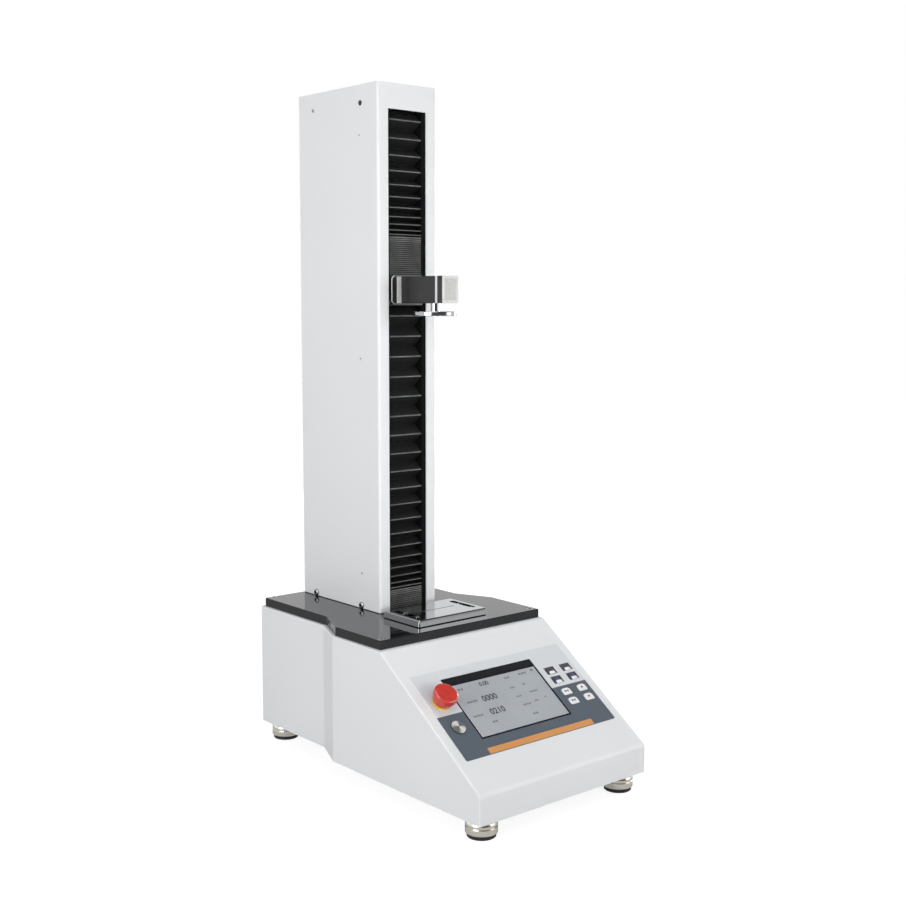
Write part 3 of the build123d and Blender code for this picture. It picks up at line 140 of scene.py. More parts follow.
class Wiring:
    """Adds, feeds and links the nodes of one node tree."""

    def __init__(self, tree: bpy.types.NodeTree) -> None:
        """Takes up a tree."""
        self.tree = tree

    def add(self, kind: str, **settings: object) -> bpy.types.Node:
        """Adds a node and sets its properties.

        Args:
            kind: Type name of the node.
            **settings: Properties to set on it.

        Returns:
            The new node.
        """
        node = self.tree.nodes.new(kind)
        for key, value in settings.items():
            setattr(node, key, value)
        return node

    def feed(self, socket: Socket, value: object) -> None:
        """Links a socket to another one, or sets it to a constant.

        Args:
            socket: The input to feed.
            value: An output, or the constant.
        """
        if isinstance(value, bpy.types.NodeSocket):
            self.tree.links.new(value, socket)
        else:
            socket.default_value = value

    def joined(self, kind: str, *terms: object, **settings: object) -> Socket:
        """Adds a node and feeds its inputs in order.

        Args:
            kind: Type name of the node.
            *terms: A constant or a socket for each input.
            **settings: Properties to set on it.

        Returns:
            Its first output.
        """
        node = self.add(kind, **settings)
        for socket, term in zip(node.inputs, terms):
            self.feed(socket, term)
        return node.outputs[0]

    def math(self, operation: str, *terms: object) -> Socket:
        """Adds a math node on one, two or three terms and gives its result."""
        return self.joined("ShaderNodeMath", *terms, operation=operation)

    def parts(self, vector: Socket) -> tuple[Socket, ...]:
        """Gives the X, Y and Z of a vector."""
        return tuple(self.joined("ShaderNodeSeparateXYZ", vector).node.outputs)

    def remap(self, value: Socket, source: Sequence[float], target: Sequence[object]) -> Socket:
        """Maps one range onto another, held at its ends.

        Args:
            value: The value to map.
            source: Its low and high end.
            target: What they become.

        Returns:
            The mapped value.
        """
        return self.joined("ShaderNodeMapRange", value, *source, *target)


class Graph(Wiring):
    """Node tree of one material around its main shader."""

    def __init__(self, name: str) -> None:
        """Starts a material of that name, read by place on the object."""
        self.material = bpy.data.materials.new(name)
        self.material.use_nodes = True
        super().__init__(self.material.node_tree)
        self.shader = self.tree.nodes["Principled BSDF"]
        self.where = self.add("ShaderNodeTexCoord").outputs["Object"]

    def dress(self, **values: object) -> Material:
        """Feeds the main shader's sockets, named with _ for a space.

        Args:
            **values: A constant or a socket for each input.

        Returns:
            The finished material.
        """
        for key, value in values.items():
            self.feed(self.shader.inputs[key.replace("_", " ")], value)
        return self.material

    def noise(self, scale: float, detail: float = 2.0, where: Socket | None = None) -> Socket:
        """Adds a noise pattern.

        Args:
            scale: Patches per metre.
            detail: Finer layers on top of the first.
            where: Coordinates to read, or the plain object ones.

        Returns:
            Its value, from 0 to 1.
        """
        node = self.add("ShaderNodeTexNoise")
        self.feed(node.inputs["Vector"], where or self.where)
        self.feed(node.inputs["Scale"], scale)
        self.feed(node.inputs["Detail"], detail)
        return node.outputs["Fac"]

    def stretched(self, scale: Sequence[float]) -> Socket:
        """Draws the object coordinates out along the axes.

        Args:
            scale: Factor along X, Y and Z.

        Returns:
            The new coordinates.
        """
        node = self.add("ShaderNodeMapping")
        self.feed(node.inputs["Vector"], self.where)
        self.feed(node.inputs["Scale"], scale)
        return node.outputs["Vector"]

    def mix(self, share: Socket, first: object, second: object) -> Socket:
        """Mixes two colours.

        Args:
            share: Share of the second, from 0 to 1.
            first: Colour or socket.
            second: Colour or socket.

        Returns:
            The mixed colour.
        """
        node = self.add("ShaderNodeMix", data_type="RGBA")
        colours = [s for s in node.inputs if s.type == "RGBA"]
        self.feed(node.inputs[0], share)
        for socket, colour in zip(colours, (first, second)):
            self.feed(socket, (*colour, 1.0) if isinstance(colour, tuple) else colour)
        return next(s for s in node.outputs if s.type == "RGBA")

    def drift(self, colour: Colour, amount: float, scale: float) -> Socket:
        """Colour that wanders a little darker and lighter.

        Args:
            colour: The colour in the middle.
            amount: Share by which it wanders.
            scale: Patches per metre.

        Returns:
            The wandering colour.
        """
        share = self.remap(self.noise(scale, 4.0), NOISE_SPAN, (0.0, 1.0))
        darker = tuple(c * (1 - amount) for c in colour)
        lighter = tuple(min(c * (1 + amount), 1.0) for c in colour)
        return self.mix(share, darker, lighter)

    def bump(self, height: Socket, depth: float, strength: float = 1.0) -> Socket:
        """Turns a height pattern into a surface normal.

        Args:
            height: The pattern.
            depth: Its depth in millimetres.
            strength: How much of it shows.

        Returns:
            The normal.
        """
        node = self.add("ShaderNodeBump")
        self.feed(node.inputs["Strength"], strength)
        self.feed(node.inputs["Distance"], depth * MM)
        self.feed(node.inputs["Height"], height)
        return node.outputs["Normal"]

    def on_panel(self, panel: Panel) -> tuple[Socket, Socket]:
        """Reads the place on the control panel.

        Args:
            panel: The slope to measure on.

        Returns:
            The distances across and down it, in metres.
        """
        node = self.add("ShaderNodeMapping")
        back = Matrix.Rotation(-panel.tilt, 3, "X")
        self.feed(node.inputs["Vector"], self.where)
        self.feed(node.inputs["Rotation"], (-panel.tilt, 0.0, 0.0))
        self.feed(node.inputs["Location"], -(back @ panel.corner))
        across, up, _ = self.parts(node.outputs["Vector"])
        return across, self.math("MULTIPLY", up, -1.0)

    def within(self, value: Socket, low: float, high: float) -> Socket:
        """One where a value lies between two ends in millimetres, and nought elsewhere."""
        above = self.math("GREATER_THAN", value, low * MM)
        return self.math("MULTIPLY", above, self.math("LESS_THAN", value, high * MM))


@dataclass(frozen=True)
class Finish:
    """A surface finish by its name."""

    name: str

    def make(self) -> Material:
        """Makes the material."""
        raise NotImplementedError


@dataclass(frozen=True)
class Coat(Finish):
    """Sprayed, moulded or dipped surface with a faintly uneven colour, gloss and skin."""

    colour: Colour
    gloss: tuple[float, float] = (0.35, 0.45)
    amount: float = 0.03
    cloud: float = 9.0
    grain: float = 1400.0
    depth: float = 0.02
    shine: float = 0.5

    def make(self) -> Material:
        """Makes the material."""
        graph = Graph(self.name)
        rough = graph.remap(graph.noise(self.cloud * 3), NOISE_SPAN, self.gloss)
        return graph.dress(
            Base_Color=graph.drift(self.colour, self.amount, self.cloud),
            Roughness=rough,
            Specular_IOR_Level=self.shine,
            Normal=graph.bump(graph.noise(self.grain), self.depth),
        )


@dataclass(frozen=True)
class Metal(Finish):
    """Bare or plated metal whose tool marks run along the axes with the low figures."""

    colour: Colour
    gloss: tuple[float, float] = (0.2, 0.3)
    amount: float = 0.05
    cloud: float = 30.0
    marks: tuple[float, float, float] = (1.0, 1.0, 1.0)
    fine: float = 900.0
    depth: float = 0.01

    def make(self) -> Material:
        """Makes the material."""
        graph = Graph(self.name)
        lines = graph.noise(self.fine, 2.0, graph.stretched(self.marks))
        return graph.dress(
            Base_Color=graph.drift(self.colour, self.amount, self.cloud),
            Metallic=1.0,
            Roughness=graph.remap(lines, (0.25, 0.75), self.gloss),
            Normal=graph.bump(lines, self.depth),
        )


@dataclass(frozen=True)
class PleatCloth(Finish):
    """Coated cloth of the pleated covers, with a painted highlight along the crests of its folds."""

    fold: Colour = (0.013, 0.0135, 0.014)
    # ridge is the colour of the painted highlight on the crests
    ridge_highlight: Colour = (0.20, 0.205, 0.197)
    ridge_y: float = 64.0
    highlight_width: float = 0.9
    weave: float = 2600.0

    def make(self) -> Material:
        """Makes the material."""
        graph = Graph(self.name)
        # Painted highlight: a narrow band at the front crests turns to the pale ridge colour, broken up by
        # noise
        ends = (self.ridge_y * MM, (self.ridge_y + self.highlight_width) * MM)
        edge = graph.remap(graph.parts(graph.where)[1], ends, (1.0, 0.0))
        patchy = graph.remap(graph.noise(60.0, 3.0), NOISE_SPAN, (0.55, 1.0))
        shade = graph.mix(graph.math("MULTIPLY", edge, patchy), self.fold, self.ridge_highlight)
        return graph.dress(
            Base_Color=shade,
            Roughness=graph.remap(graph.noise(240.0), NOISE_SPAN, (0.5, 0.68)),
            Specular_IOR_Level=0.25,
            Normal=graph.bump(graph.noise(self.weave), 0.05),
        )


@dataclass(frozen=True)
class OverlayPrint(Finish):
    """Printed film of the control panel: a pale field, a slate field and a strip."""

    pale: Colour = (0.70, 0.725, 0.75)
    slate: Colour = (0.100, 0.122, 0.150)
    strip: Colour = (0.70, 0.32, 0.105)
    slate_down: tuple[float, float] = (117.0, 190.0)
    strip_down: tuple[float, float] = (176.3, 185.0)
    strip_half: float = 91.0

    def make(self) -> Material:
        """Makes the material."""
        graph = Graph(self.name)
        across, down = graph.on_panel(PANEL)
        dark = graph.within(down, *self.slate_down)
        band = graph.within(down, *self.strip_down)
        band = graph.math("MULTIPLY", band, graph.within(across, -self.strip_half, self.strip_half))
        fleck = graph.remap(graph.noise(420.0, 3.0), (0.35, 0.65), (0.0, 1.0))
        slate = graph.mix(fleck, self.slate, tuple(c * 1.05 for c in self.slate))
        field_colour = graph.mix(dark, graph.drift(self.pale, 0.004, 14.0), slate)
        return graph.dress(
            Base_Color=graph.mix(band, field_colour, graph.drift(self.strip, 0.02, 60.0)),
            Roughness=graph.remap(graph.noise(90.0), NOISE_SPAN, (0.29, 0.31)),
            Normal=graph.bump(graph.noise(1800.0), 0.015),
        )


@dataclass(frozen=True)
class ScreenGlass(Finish):
    """Screen with a black band above, a black rim and a grey field of fine cells."""

    black: Colour = (0.012, 0.013, 0.016)
    grey: Colour = (0.43, 0.455, 0.48)
    across: tuple[float, float] = (-86.0, 65.2)
    down: tuple[float, float] = (76.5, 159.6)
    rows: float = 2600.0

    def make(self) -> Material:
        """Makes the material."""
        graph = Graph(self.name)
        across, down = graph.on_panel(PANEL)
        lit = graph.within(across, *self.across)
        lit = graph.math("MULTIPLY", lit, graph.within(down, *self.down))
        cells = graph.math("SINE", graph.math("MULTIPLY", down, self.rows))
        cells = graph.remap(cells, (-1.0, 1.0), (0.0, 0.35))
        cloudy = graph.math("ADD", cells, graph.remap(graph.noise(18.0, 3.0), NOISE_SPAN, (0.0, 0.65)))
        grey = graph.mix(cloudy, tuple(c * 0.93 for c in self.grey), tuple(c * 1.07 for c in self.grey))
        return graph.dress(
            Base_Color=graph.mix(lit, self.black, grey),
            Roughness=graph.remap(graph.noise(50.0), NOISE_SPAN, (0.16, 0.26)),
            Normal=graph.bump(graph.noise(700.0), 0.006),
        )


@dataclass(frozen=True)
class PaintedSheenFace(Finish):
    """Stainless face turned on a lathe, whose turning marks are shown as pale and dark fan-shaped sectors of
    painted reflection in its colour.
    """

    centre: tuple[float, float]
    # pale is the painted highlight of the bright sectors, dark the painted reflection of the dim ones
    pale: Colour = (0.93, 0.925, 0.91)
    dark: Colour = (0.20, 0.20, 0.20)
    sheen_lean: float = 63.0

    def make(self) -> Material:
        """Makes the material."""
        graph = Graph(self.name)
        across, down = graph.on_panel(PANEL)
        aside = graph.math("SUBTRACT", across, self.centre[0] * MM)
        below = graph.math("SUBTRACT", down, self.centre[1] * MM)
        angle = graph.math("SUBTRACT", graph.math("ARCTAN2", below, aside), math.radians(self.sheen_lean))
        # Painted reflection: the colour swings twice round the middle between the pale and dark sectors,
        # fixed on the face
        painted_sheen_fans = graph.math("COSINE", graph.math("MULTIPLY", angle, 2.0))
        share = graph.remap(painted_sheen_fans, (-0.6, 0.7), (0.0, 1.0))
        return graph.dress(
            Base_Color=graph.mix(share, self.dark, self.pale),
            Metallic=0.4,
            Roughness=graph.remap(graph.noise(900.0), NOISE_SPAN, (0.28, 0.36)),
            Normal=graph.bump(graph.noise(1600.0), 0.004),
        )


BUTTON_PLACE = (-110.0, 137.4)

HOUSING = Coat("housing_white", (0.80, 0.815, 0.825), (0.36, 0.46), 0.012, 5.0, 1500.0, 0.018)
PLATE = Coat("plate_black", (0.010, 0.0105, 0.012), (0.035, 0.075), 0.2, 20.0, 220.0, 0.002)
CHROME = Metal("chrome", (0.47, 0.48, 0.495), (0.06, 0.13), 0.03, 20.0, (1.0, 12.0, 12.0), 260.0, 0.001)
NICKEL = Metal("foot_nickel", (0.80, 0.765, 0.69), (0.12, 0.2), 0.07, 60.0, (1.0, 1.0, 30.0), 60.0, 0.01)
RUBBER = Coat("rubber_black", (0.014, 0.014, 0.014), (0.55, 0.75), 0.2, 60.0, 1800.0, 0.05)
CLOTH = PleatCloth("pleat_black")
# Same cloth with a weaker painted highlight on the crests, for the packed lengths
PACKED_CLOTH = PleatCloth("pleat_packed", ridge_highlight=(0.125, 0.13, 0.124))
CHANNEL = Coat("channel_black", (0.006, 0.006, 0.0065), (0.55, 0.7), 0.15, 30.0, 1200.0, 0.02, 0.12)
ARM = Coat("arm_black", (0.015, 0.015, 0.0165), (0.36, 0.46), 0.10, 45.0, 2200.0, 0.02)
ALUMINIUM = Metal("aluminium", (0.70, 0.705, 0.70), (0.28, 0.40), 0.04, 40.0, (1.0, 1.0, 0.08), 1500.0, 0.01)
BORDER = Coat("aluminium_border", (0.69, 0.69, 0.68), (0.50, 0.60), 0.03, 60.0, 900.0, 0.01)
BLASTED = Coat("aluminium_blasted", (0.57, 0.565, 0.55), (0.60, 0.72), 0.10, 420.0, 1100.0, 0.05)
SATIN = Coat("aluminium_satin", (0.70, 0.70, 0.69), (0.45, 0.55), 0.03, 60.0, 1500.0, 0.01)
DULL = Metal("aluminium_dull", (0.11, 0.11, 0.107), (0.45, 0.6), 0.08, 60.0, (1.0, 1.0, 0.08), 1500.0, 0.01)
STEEL = Metal("steel", (0.52, 0.53, 0.54), (0.26, 0.40), 0.06, 35.0, (1.0, 1.0, 0.06), 1200.0, 0.01)
MOTOR = Coat("motor_dark", (0.030, 0.030, 0.033), (0.36, 0.5), 0.12, 30.0, 1400.0, 0.03)
OVERLAY = OverlayPrint("overlay_grey")
KEY = Coat("key_white", (0.86, 0.865, 0.87), (0.3, 0.42), 0.02, 120.0, 1600.0, 0.015)
SCREEN = ScreenGlass("screen_glass")
RED = Coat("estop_red", (0.60, 0.042, 0.032), (0.13, 0.19), 0.10, 110.0, 900.0, 0.012, 0.9)
YELLOW = Coat("estop_yellow", (0.80, 0.46, 0.045), (0.3, 0.42), 0.06, 120.0, 1500.0, 0.015)
PLASTIC = Coat("plastic_black", (0.017, 0.017, 0.018), (0.42, 0.58), 0.15, 90.0, 1500.0, 0.04)
BOARD = Coat("board_green", (0.028, 0.13, 0.055), (0.32, 0.5), 0.35, 260.0, 700.0, 0.05)
# The round button's face, with sectors of painted reflection
STAINLESS = PaintedSheenFace("stainless", BUTTON_PLACE)
KEY_FIELD = Coat("print_field", (0.058, 0.060, 0.068), (0.35, 0.45), 0.12, 300.0, 1600.0, 0.01)
INK = Coat("print_dark", (0.045, 0.048, 0.055), (0.3, 0.42), 0.15, 300.0, 1600.0, 0.01)
FAINT = Coat("print_faint", (0.17, 0.18, 0.20), (0.3, 0.42), 0.15, 300.0, 1600.0, 0.01)
BLUE = Coat("print_blue", (0.075, 0.085, 0.34), (0.3, 0.42), 0.12, 300.0, 1600.0, 0.01)
RUST = Coat("print_red", (0.40, 0.055, 0.05), (0.3, 0.42), 0.12, 300.0, 1600.0, 0.01)

SLOT_FINISHES = (
    HOUSING, PLATE, CHROME, NICKEL, RUBBER, CLOTH, CHANNEL, ARM, ALUMINIUM, STEEL, MOTOR,
    OVERLAY, KEY, SCREEN, RED, YELLOW, PLASTIC, BOARD, STAINLESS,
)

NODE_FINISHES = {"carriage": DULL, "arm_spacer": SATIN}
NODE_FINISHES.update({f"key_{number}": KEY_FIELD for number in range(1, 5)})


class Paintbox:
    """Keeps one material for each finish."""

    def __init__(self) -> None:
        """Starts with nothing mixed."""
        self.mixed: dict[str, Material] = {}

    def get(self, finish: Finish) -> Material:
        """Gives a finish's material, mixed on first use."""
        if finish.name not in self.mixed:
            self.mixed[finish.name] = finish.make()
        return self.mixed[finish.name]


PAINT = Paintbox()


class Bench:
    """One mesh on the bench, shaped in edit mode and then set in its place."""

    def __init__(self, name: str) -> None:
        """Takes up the object that was just added."""
        self.piece = bpy.context.active_object
        self.piece.name = name
        self.piece.data.name = name

    @staticmethod
    def clear() -> None:
        """Leaves edit mode with nothing selected."""
        if bpy.context.mode != "OBJECT":
            bpy.ops.object.mode_set(mode="OBJECT")
        bpy.ops.object.select_all(action="DESELECT")

    @classmethod
    def drum(cls, name: str, radius: float, height: float, sides: int = 32) -> "Bench":
        """Starts from an upright cylinder on its base, in millimetres.

        Args:
            name: Name of the piece.
            radius: Radius of the cylinder.
            height: Its height.
            sides: Flats round it.

        Returns:
            The bench with the mesh on it.
        """
        cls.clear()
        middle = (0.0, 0.0, height * MM / 2)
        bpy.ops.mesh.primitive_cylinder_add(
            vertices=sides, radius=radius * MM, depth=height * MM, location=middle
        )
        bpy.ops.object.transform_apply()
        return cls(name)

    @classmethod
    def slab(cls, name: str, width: float, depth: float, height: float) -> "Bench":
        """Starts from a block on its base, in millimetres.

        Args:
            name: Name of the piece.
            width: Size along X.
            depth: Size along Y.
            height: Size along Z.

        Returns:
            The bench with the mesh on it.
        """
        cls.clear()
        bpy.ops.mesh.primitive_cube_add(size=1.0, location=(0.0, 0.0, height * MM / 2))
        bpy.context.active_object.scale = (width * MM, depth * MM, height * MM)
        bpy.ops.object.transform_apply()
        return cls(name)

    @classmethod
    def figures(cls, name: str, text: str, height: float, thickness: float, weight: float) -> "Bench":
        """Starts from plain figures as a mesh, centred on the origin, in millimetres.

        Args:
            name: Name of the piece.
            text: The figures.
            height: Size of the type.
            thickness: How thick they are printed.
            weight: How much their strokes are widened.

        Returns:
            The bench with the mesh on it.
        """
        cls.clear()
        bpy.ops.object.text_add()
        curve = bpy.context.active_object.data
        curve.body = text
        curve.size = height * MM
        curve.extrude = thickness * MM / 2
        curve.offset = weight * MM
        curve.align_x = "CENTER"
        curve.align_y = "CENTER"
        curve.resolution_u = 4
        bpy.ops.object.convert(target="MESH")
        return cls(name)

    def copy(self, name: str) -> "Bench":
        """Copies the piece with its own mesh.

        Args:
            name: Name of the copy.

        Returns:
            The bench with the copy on it.
        """
        self.clear()
        self.piece.select_set(True)
        bpy.context.view_layer.objects.active = self.piece
        bpy.ops.object.duplicate(linked=False)
        return Bench(name)

    def pick(self, zone: Zone, test: Callable[..., bool]) -> "Bench":
        """Selects faces or edges by place, and stays in edit mode.

        Args:
            zone: Whether faces or edges are tested.
            test: Takes a face's centre and normal, or the two ends of an edge.

        Returns:
            The bench itself.
        """
        bpy.ops.object.mode_set(mode="EDIT")
        bpy.ops.mesh.select_mode(type=zone.value)
        bpy.ops.mesh.select_all(action="DESELECT")
        bpy.ops.object.mode_set(mode="OBJECT")
        mesh = self.piece.data
        if zone is Zone.FACE:
            for face in mesh.polygons:
                face.select = test(face.center, face.normal)
        else:
            for edge in mesh.edges:
                ends = [mesh.vertices[v].co for v in edge.vertices]
                edge.select = test(*ends)
        bpy.ops.object.mode_set(mode="EDIT")
        return self

    def upright(self, where: Callable[[Vector], bool] = lambda end: True) -> "Bench":
        """Picks the edges that stand up from the base and whose first end passes a test."""
        return self.pick(Zone.EDGE, lambda a, b: abs(a.z - b.z) > NEAR and where(a))

    def rim(self, height: float) -> "Bench":
        """Picks the edges that lie at a height in millimetres or above it."""
        return self.pick(Zone.EDGE, lambda a, b: min(a.z, b.z) > height * MM - NEAR)

    def top(self) -> "Bench":
        """Picks the faces that look straight up."""
        return self.pick(Zone.FACE, lambda c, n: n.z > 0.99)

    def round(self, width: float, segments: int = 2) -> "Bench":
        """Bevels the picked edges by a width in millimetres."""
        bpy.ops.mesh.bevel(offset=width * MM, segments=segments, affect="EDGES", clamp_overlap=True)
        return self

    def inset(self, width: float, sink: float = 0.0) -> "Bench":
        """Insets the picked faces, and sinks them, in millimetres."""
        bpy.ops.mesh.inset(thickness=width * MM, depth=-sink * MM)
        return self

    def pierce(self, wall: float) -> "Bench":
        """Opens the piece from top to bottom, leaving a wall of a width in millimetres."""
        self.pick(Zone.FACE, lambda c, n: abs(n.z) > 0.99).inset(wall)
        bpy.ops.mesh.bridge_edge_loops()
        return self.outward()

    def pull(self, x: float, y: float, z: float) -> "Bench":
        """Extrudes what is picked along a move in millimetres."""
        move = {"value": Vector((x, y, z)) * MM}
        bpy.ops.mesh.extrude_region_move(TRANSFORM_OT_translate=move)
        return self

    def outward(self) -> "Bench":
        """Merges doubles and turns all faces outwards."""
        bpy.ops.object.mode_set(mode="EDIT")
        bpy.ops.mesh.select_all(action="SELECT")
        bpy.ops.mesh.remove_doubles(threshold=0.001 * MM)
        bpy.ops.mesh.normals_make_consistent(inside=False)
        return self

    def paint(self, *finishes: Finish) -> "Bench":
        """Gives the piece its finishes, the first one all over.

        Args:
            *finishes: The finishes in the order of the mesh's slots.

        Returns:
            The bench itself.
        """
        self.clear()
        self.piece.data.materials.clear()
        for finish in finishes:
            self.piece.data.materials.append(PAINT.get(finish))
        return self

    def second(self, test: Callable[[Vector, Vector], bool]) -> "Bench":
        """Gives the second finish to the faces that a test on centre and normal picks."""
        for face in self.piece.data.polygons:
            face.material_index = 1 if test(face.center, face.normal) else 0
        return self

    def smooth(self, degrees: float = 30.0) -> "Bench":
        """Shades smooth across edges that turn by less than an angle.

        Args:
            degrees: The angle.

        Returns:
            The bench itself.
        """
        self.clear()
        self.piece.select_set(True)
        bpy.context.view_layer.objects.active = self.piece
        bpy.ops.object.shade_smooth_by_angle(angle=math.radians(degrees))
        return self

    def set_down(self, place: Matrix, body: str, slot: str) -> Piece:
        """Puts the piece in its place and on its body.

        Args:
            place: Where the piece's own origin goes.
            body: Body of the frame that it rides on.
            slot: Material slot of the record; not used.

        Returns:
            The finished piece.
        """
        self.clear()
        self.piece.data.transform(place)
        self.piece.data.update()
        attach(self.piece, body)
        log.info("%s rides on %s", self.piece.name, body)
        return self.piece


@dataclass(frozen=True)
class CapScrew:
    """Head of a screw with a hexagon socket, in millimetres."""

    radius: float
    height: float
    socket: float
    depth: float
    crown: float

    def head(self, name: str) -> Bench:
        """Models the head on its seat, looking up, with painted shade deep in its socket.

        Args:
            name: Name of the piece.

        Returns:
            The bench with the head on it.
        """
        top = self.height * MM
        bench = Bench.drum(name, self.radius, self.height, 24)
        bench.rim(self.height).round(self.crown, 3)
        bench.pick(Zone.FACE, lambda c, n: c.z > top - NEAR and n.z > 0.99)
        bpy.ops.mesh.delete(type="ONLY_FACE")
        bpy.ops.mesh.primitive_circle_add(vertices=6, radius=self.socket * MM, location=(0, 0, top))
        bpy.ops.mesh.select_mode(type="EDGE")
        bpy.ops.mesh.select_all(action="DESELECT")
        bpy.ops.mesh.select_non_manifold(use_verts=False)
        bpy.ops.mesh.bridge_edge_loops()
        rim = self.socket * MM + NEAR
        bench.pick(
            Zone.EDGE,
            lambda a, b: max(a.xy.length, b.xy.length) < rim and min(a.z, b.z) > top - NEAR,
        )
        bench.pull(0.0, 0.0, -self.depth)
        bpy.ops.mesh.edge_face_add()
        # The socket's lower walls and floor take black plastic as painted shade
        bench.outward().paint(CHROME, PLASTIC)
        floor = top - self.depth * MM * 0.3
        bench.second(lambda c, n: c.z < floor and c.xy.length < rim * 0.9 and c.z > NEAR)
        return bench.smooth(35.0)


@dataclass
class Fasteners:
    """Screws and plugs that hold the covers, the plate and the table, in millimetres."""

    side_x: float = 50.0
    back_y: float = 245.0
    foot_screw: CapScrew = CapScrew(5.0, 3.2, 2.4, 1.8, 1.6)
    small_screw: CapScrew = CapScrew(2.6, 1.0, 1.2, 0.7, 0.6)
    pin: CapScrew = CapScrew(1.3, 0.4, 0.6, 0.3, 0.25)
    slot_screw: CapScrew = CapScrew(4.0, 4.6, 2.3, 2.2, 0.7)
    plate_screw: CapScrew = CapScrew(5.0, 6.0, 2.9, 3.0, 0.7)
    inlet_screw: CapScrew = CapScrew(2.8, 1.4, 1.3, 0.9, 0.8)
    foot_y: tuple[float, float] = (101.0, 212.0)
    foot_z: float = 213.6
    plug_at: tuple[float, float] = (98.4, 904.5)
    plug_radius: float = 3.6
    plug_height: float = 0.5
    plug_edge: float = 0.25
    plug_border: float = 0.5
    plug_slope: float = 0.3
    plug_dish: float = 0.35
    head_at: tuple[float, float] = (209.4, 905.6)
    pins_y: float = 101.0
    pins_z: tuple[float, ...] = (259.0, 560.0, 862.0)
    slot_x: float = 49.0
    slot_y: tuple[float, ...] = (-15.0, 12.0)
    slot_seat: float = 212.5
    plate_at: tuple[tuple[float, float], ...] = ((132.0, -50.0), (103.5, 245.5))
    plate_seat: float = 202.0
    back_x: float = 40.0
    back_z: tuple[float, ...] = (232.0, 568.0, 905.0)
    inlet_x: float = -62.0
    inlet_reach: float = 20.0
    inlet_z: float = 92.0
    inlet_y: float = 256.5

    def spread(self, screw: CapScrew, name: str, places: Sequence[Matrix]) -> list[Piece]:
        """Models one head and sets a copy of it in each place.

        Args:
            screw: The head to model.
            name: Name that the copies are numbered from.
            places: Where they go.

        Returns:
            The finished heads.
        """
        first = screw.head(f"{name}_1")
        heads = [first] + [first.copy(f"{name}_{n}") for n in range(2, len(places) + 1)]
        return [head.set_down(place, "root", "chrome") for head, place in zip(heads, places)]

    def plug(self, side: Side) -> Piece:
        """Makes the dark plug with a dished middle in one side of the column, whose black also stands as
        painted shade of the hole.

        Args:
            side: The side that it sits in.

        Returns:
            The finished plug.
        """
        bench = Bench.drum(f"column_plug_{side.name.lower()}", self.plug_radius, self.plug_height, 32)
        bench.rim(self.plug_height).round(self.plug_edge, 2)
        bench.top().inset(self.plug_border).inset(self.plug_slope, self.plug_dish)
        # Black all over, also as painted shade of the hole
        bench.paint(PLASTIC).smooth()
        place = facing((side.value * self.side_x, *self.plug_at), (side.value, 0, 0))
        return bench.set_down(place, "root", "plastic_black")

    def build(self) -> None:
        """Makes every screw and plug."""
        for side in Side:
            way = (side.value, 0, 0)
            x = side.value * self.side_x
            tag = side.name.lower()
            feet = [facing((x, y, self.foot_z), way) for y in self.foot_y]
            self.spread(self.foot_screw, f"column_foot_screw_{tag}", feet)
            self.spread(self.small_screw, f"column_head_screw_{tag}", [facing((x, *self.head_at), way)])
            pins = [facing((x, self.pins_y, z), way) for z in self.pins_z]
            self.spread(self.pin, f"column_pin_{tag}", pins)
            self.plug(side)
        sides = [side.value for side in Side]
        slots = [shifted(s * self.slot_x, y, self.slot_seat) for s in sides for y in self.slot_y]
        self.spread(self.slot_screw, "table_screw", slots)
        corners = [shifted(s * x, y, self.plate_seat) for s in sides for x, y in self.plate_at]
        for piece in self.spread(self.plate_screw, "plate_screw_head", corners):
            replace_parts(piece, "plate_screws")
        back = [facing((s * self.back_x, self.back_y, z), (0, 1, 0)) for s in sides for z in self.back_z]
        self.spread(self.small_screw, "back_cover_screw", back)
        inlet = [
            facing((self.inlet_x + s * self.inlet_reach, self.inlet_y, self.inlet_z), (0, 1, 0))
            for s in sides
        ]
        self.spread(self.inlet_screw, "inlet_screw", inlet)


@dataclass
class SealsAndShadeLines:
    """Dark rubber ring and strip under the round button and round the column's foot, also painted shade
    there, in millimetres.
    """

    button_radius: float = 10.4
    button_wall: float = 0.85
    button_height: float = 0.7
    button_edge: float = 0.25
    film: float = 1.0
    column_half: float = 50.0
    column_y: tuple[float, float] = (59.0, 245.0)
    column_wall: float = 0.5
    column_height: float = 1.0
    column_corner: float = 1.2
    proud: float = 0.15
    plate_top: float = 208.0

    def button(self) -> Piece:
        """Ring under the bezel of the round button, dark also as painted shade at the bezel's foot.

        Returns:
            The finished seal.
        """
        bench = Bench.drum("button_seal_shade", self.button_radius, self.button_height, 48)
        top = self.button_height * MM - NEAR
        bench.pierce(self.button_wall)
        edge = (self.button_radius - 0.1) * MM
        bench.pick(Zone.EDGE, lambda a, b: min(a.z, b.z) > top and a.xy.length > edge).round(
            self.button_edge, 2
        )
        place = PANEL.place(*BUTTON_PLACE, self.film)
        # Black rubber, also as painted shade at the bezel's foot
        return bench.paint(RUBBER).smooth(40.0).set_down(place, "root", "rubber_black")

    def column(self) -> Piece:
        """Thin dark strip round the foot of the column, standing for the shaded line where the column meets
        the plate.

        Returns:
            The finished seal.
        """
        front, back = self.column_y
        size = (2 * (self.column_half + self.proud), back - front + 2 * self.proud)
        bench = Bench.slab("column_seal_shade", *size, self.column_height)
        bench.upright().round(self.column_corner, 4)
        bench.pierce(self.column_wall)
        place = shifted(0.0, (front + back) / 2, self.plate_top)
        # Black rubber, also as painted shade where the column meets the plate
        return bench.paint(RUBBER).set_down(place, "root", "rubber_black")

    def build(self) -> None:
        """Makes the ring and the strip."""
        self.button()
        self.column()


